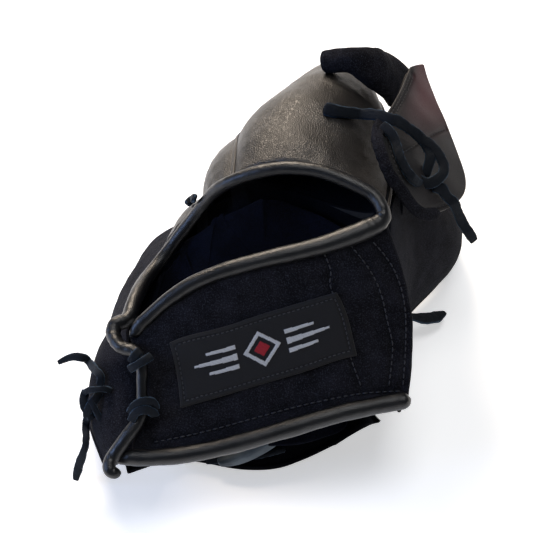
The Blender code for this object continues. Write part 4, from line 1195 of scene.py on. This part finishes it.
def back_height(station, s):
    """Height of the finger backs over the seam surface at one station, for columns s."""
    out = np.zeros(len(s))
    for first, last, height, _ in FINGER_WALLS.values():
        rise = height * arch((s - first) / (last - first)) * rounding(station, FINGER_ROUND_FROM, 4)
        out = np.where((s >= first) & (s <= last), rise, out)
    return out


for name, seam in (("tip_lace_a", 3), ("tip_lace_b", 2), ("tip_lace_c", 1)):
    s = seam + np.array(TIP_LACE_COLUMNS)
    base = finger_surface(np.full(1, TIP_LACE_STATION), s)[0]
    up = outward(finger_surface, np.full(1, TIP_LACE_STATION), s[None])[0]
    route = base + (back_height(TIP_LACE_STATION, s) + 1.9 * MM)[:, None] * up
    lace_piece(name + "_hide", route, (name,), tuple(up.mean(0)))


def studio():
    """Pale lit table, a warm window behind, soft light from above, a cool one from the left, and a camera.

    The camera stands `distance` from the glove's middle, moved sideways and up so that this point falls on
    the pixel where the photograph shows it.
    """
    mesh = bpy.data.meshes.new("floor")
    mesh.from_pydata([(-3, -3, 0), (3, -3, 0), (3, 3, 0), (-3, 3, 0)], [], [(0, 1, 2, 3)])
    made, tree, shader, _, _ = new_material("lit_white_acrylic_table")
    plug(tree, shader, {"Base Color": colour("#f7f7f7"), "Roughness": 0.9,
                        "Emission Color": (1.0, 1.0, 1.0, 1.0), "Emission Strength": 0.52})
    mesh.materials.append(made)
    placed("floor", mesh)
    bpy.context.scene.view_settings.view_transform = "Standard"
    world = bpy.data.worlds.new("studio")
    bpy.context.scene.world = world
    world.use_nodes = True
    plug(world.node_tree, world.node_tree.nodes["Background"], {"Color": colour("#e8eefc"), "Strength": 0.14})
    for name, place, aim, size, power, tone in (
            ("back_window", (-0.42, 1.25, 1.10), (0.0, 0.02, 0.06), 0.7, 32.0, "#ffeeda"),
            ("overhead", (0.1, -0.05, 1.5), (0.0, 0.0, 0.05), 0.7, 8.0, "#ffffff"),
            ("left_fill", (-1.1, -0.25, 0.55), (-0.05, -0.02, 0.05), 0.5, 7.0, "#a8c6ff")):
        light = bpy.data.lights.new(name, "AREA")
        light.size = size
        light.energy = power
        light.color = colour(tone)[:3]
        lamp = placed(name, light)
        lamp.location = place
        lamp.rotation_euler = (Vector(aim) - Vector(place)).to_track_quat("-Z", "Y").to_euler()
    pitch = np.radians(46.5)
    focal_pixels, picture_pixels, sensor = 1350.0, 533, 36.0
    distance = 0.6
    middle_pixel = (261.1, 349.4)
    forward = np.array([0, np.cos(pitch), -np.sin(pitch)])
    upward = np.array([0, np.sin(pitch), np.cos(pitch)])
    aim = np.array([0, 0, 0.075]) + CENTRING
    across, down = np.array(middle_pixel) - picture_pixels / 2
    eye = aim - distance * (forward + np.array([across, 0, 0]) / focal_pixels - down / focal_pixels * upward)
    lens = bpy.data.cameras.new("camera")
    lens.sensor_width = sensor
    lens.lens = focal_pixels * sensor / picture_pixels
    camera = placed("camera", lens)
    camera.location = tuple(eye)
    camera.rotation_euler = (np.pi / 2 - pitch, 0, 0)
    bpy.context.scene.camera = camera


studio()
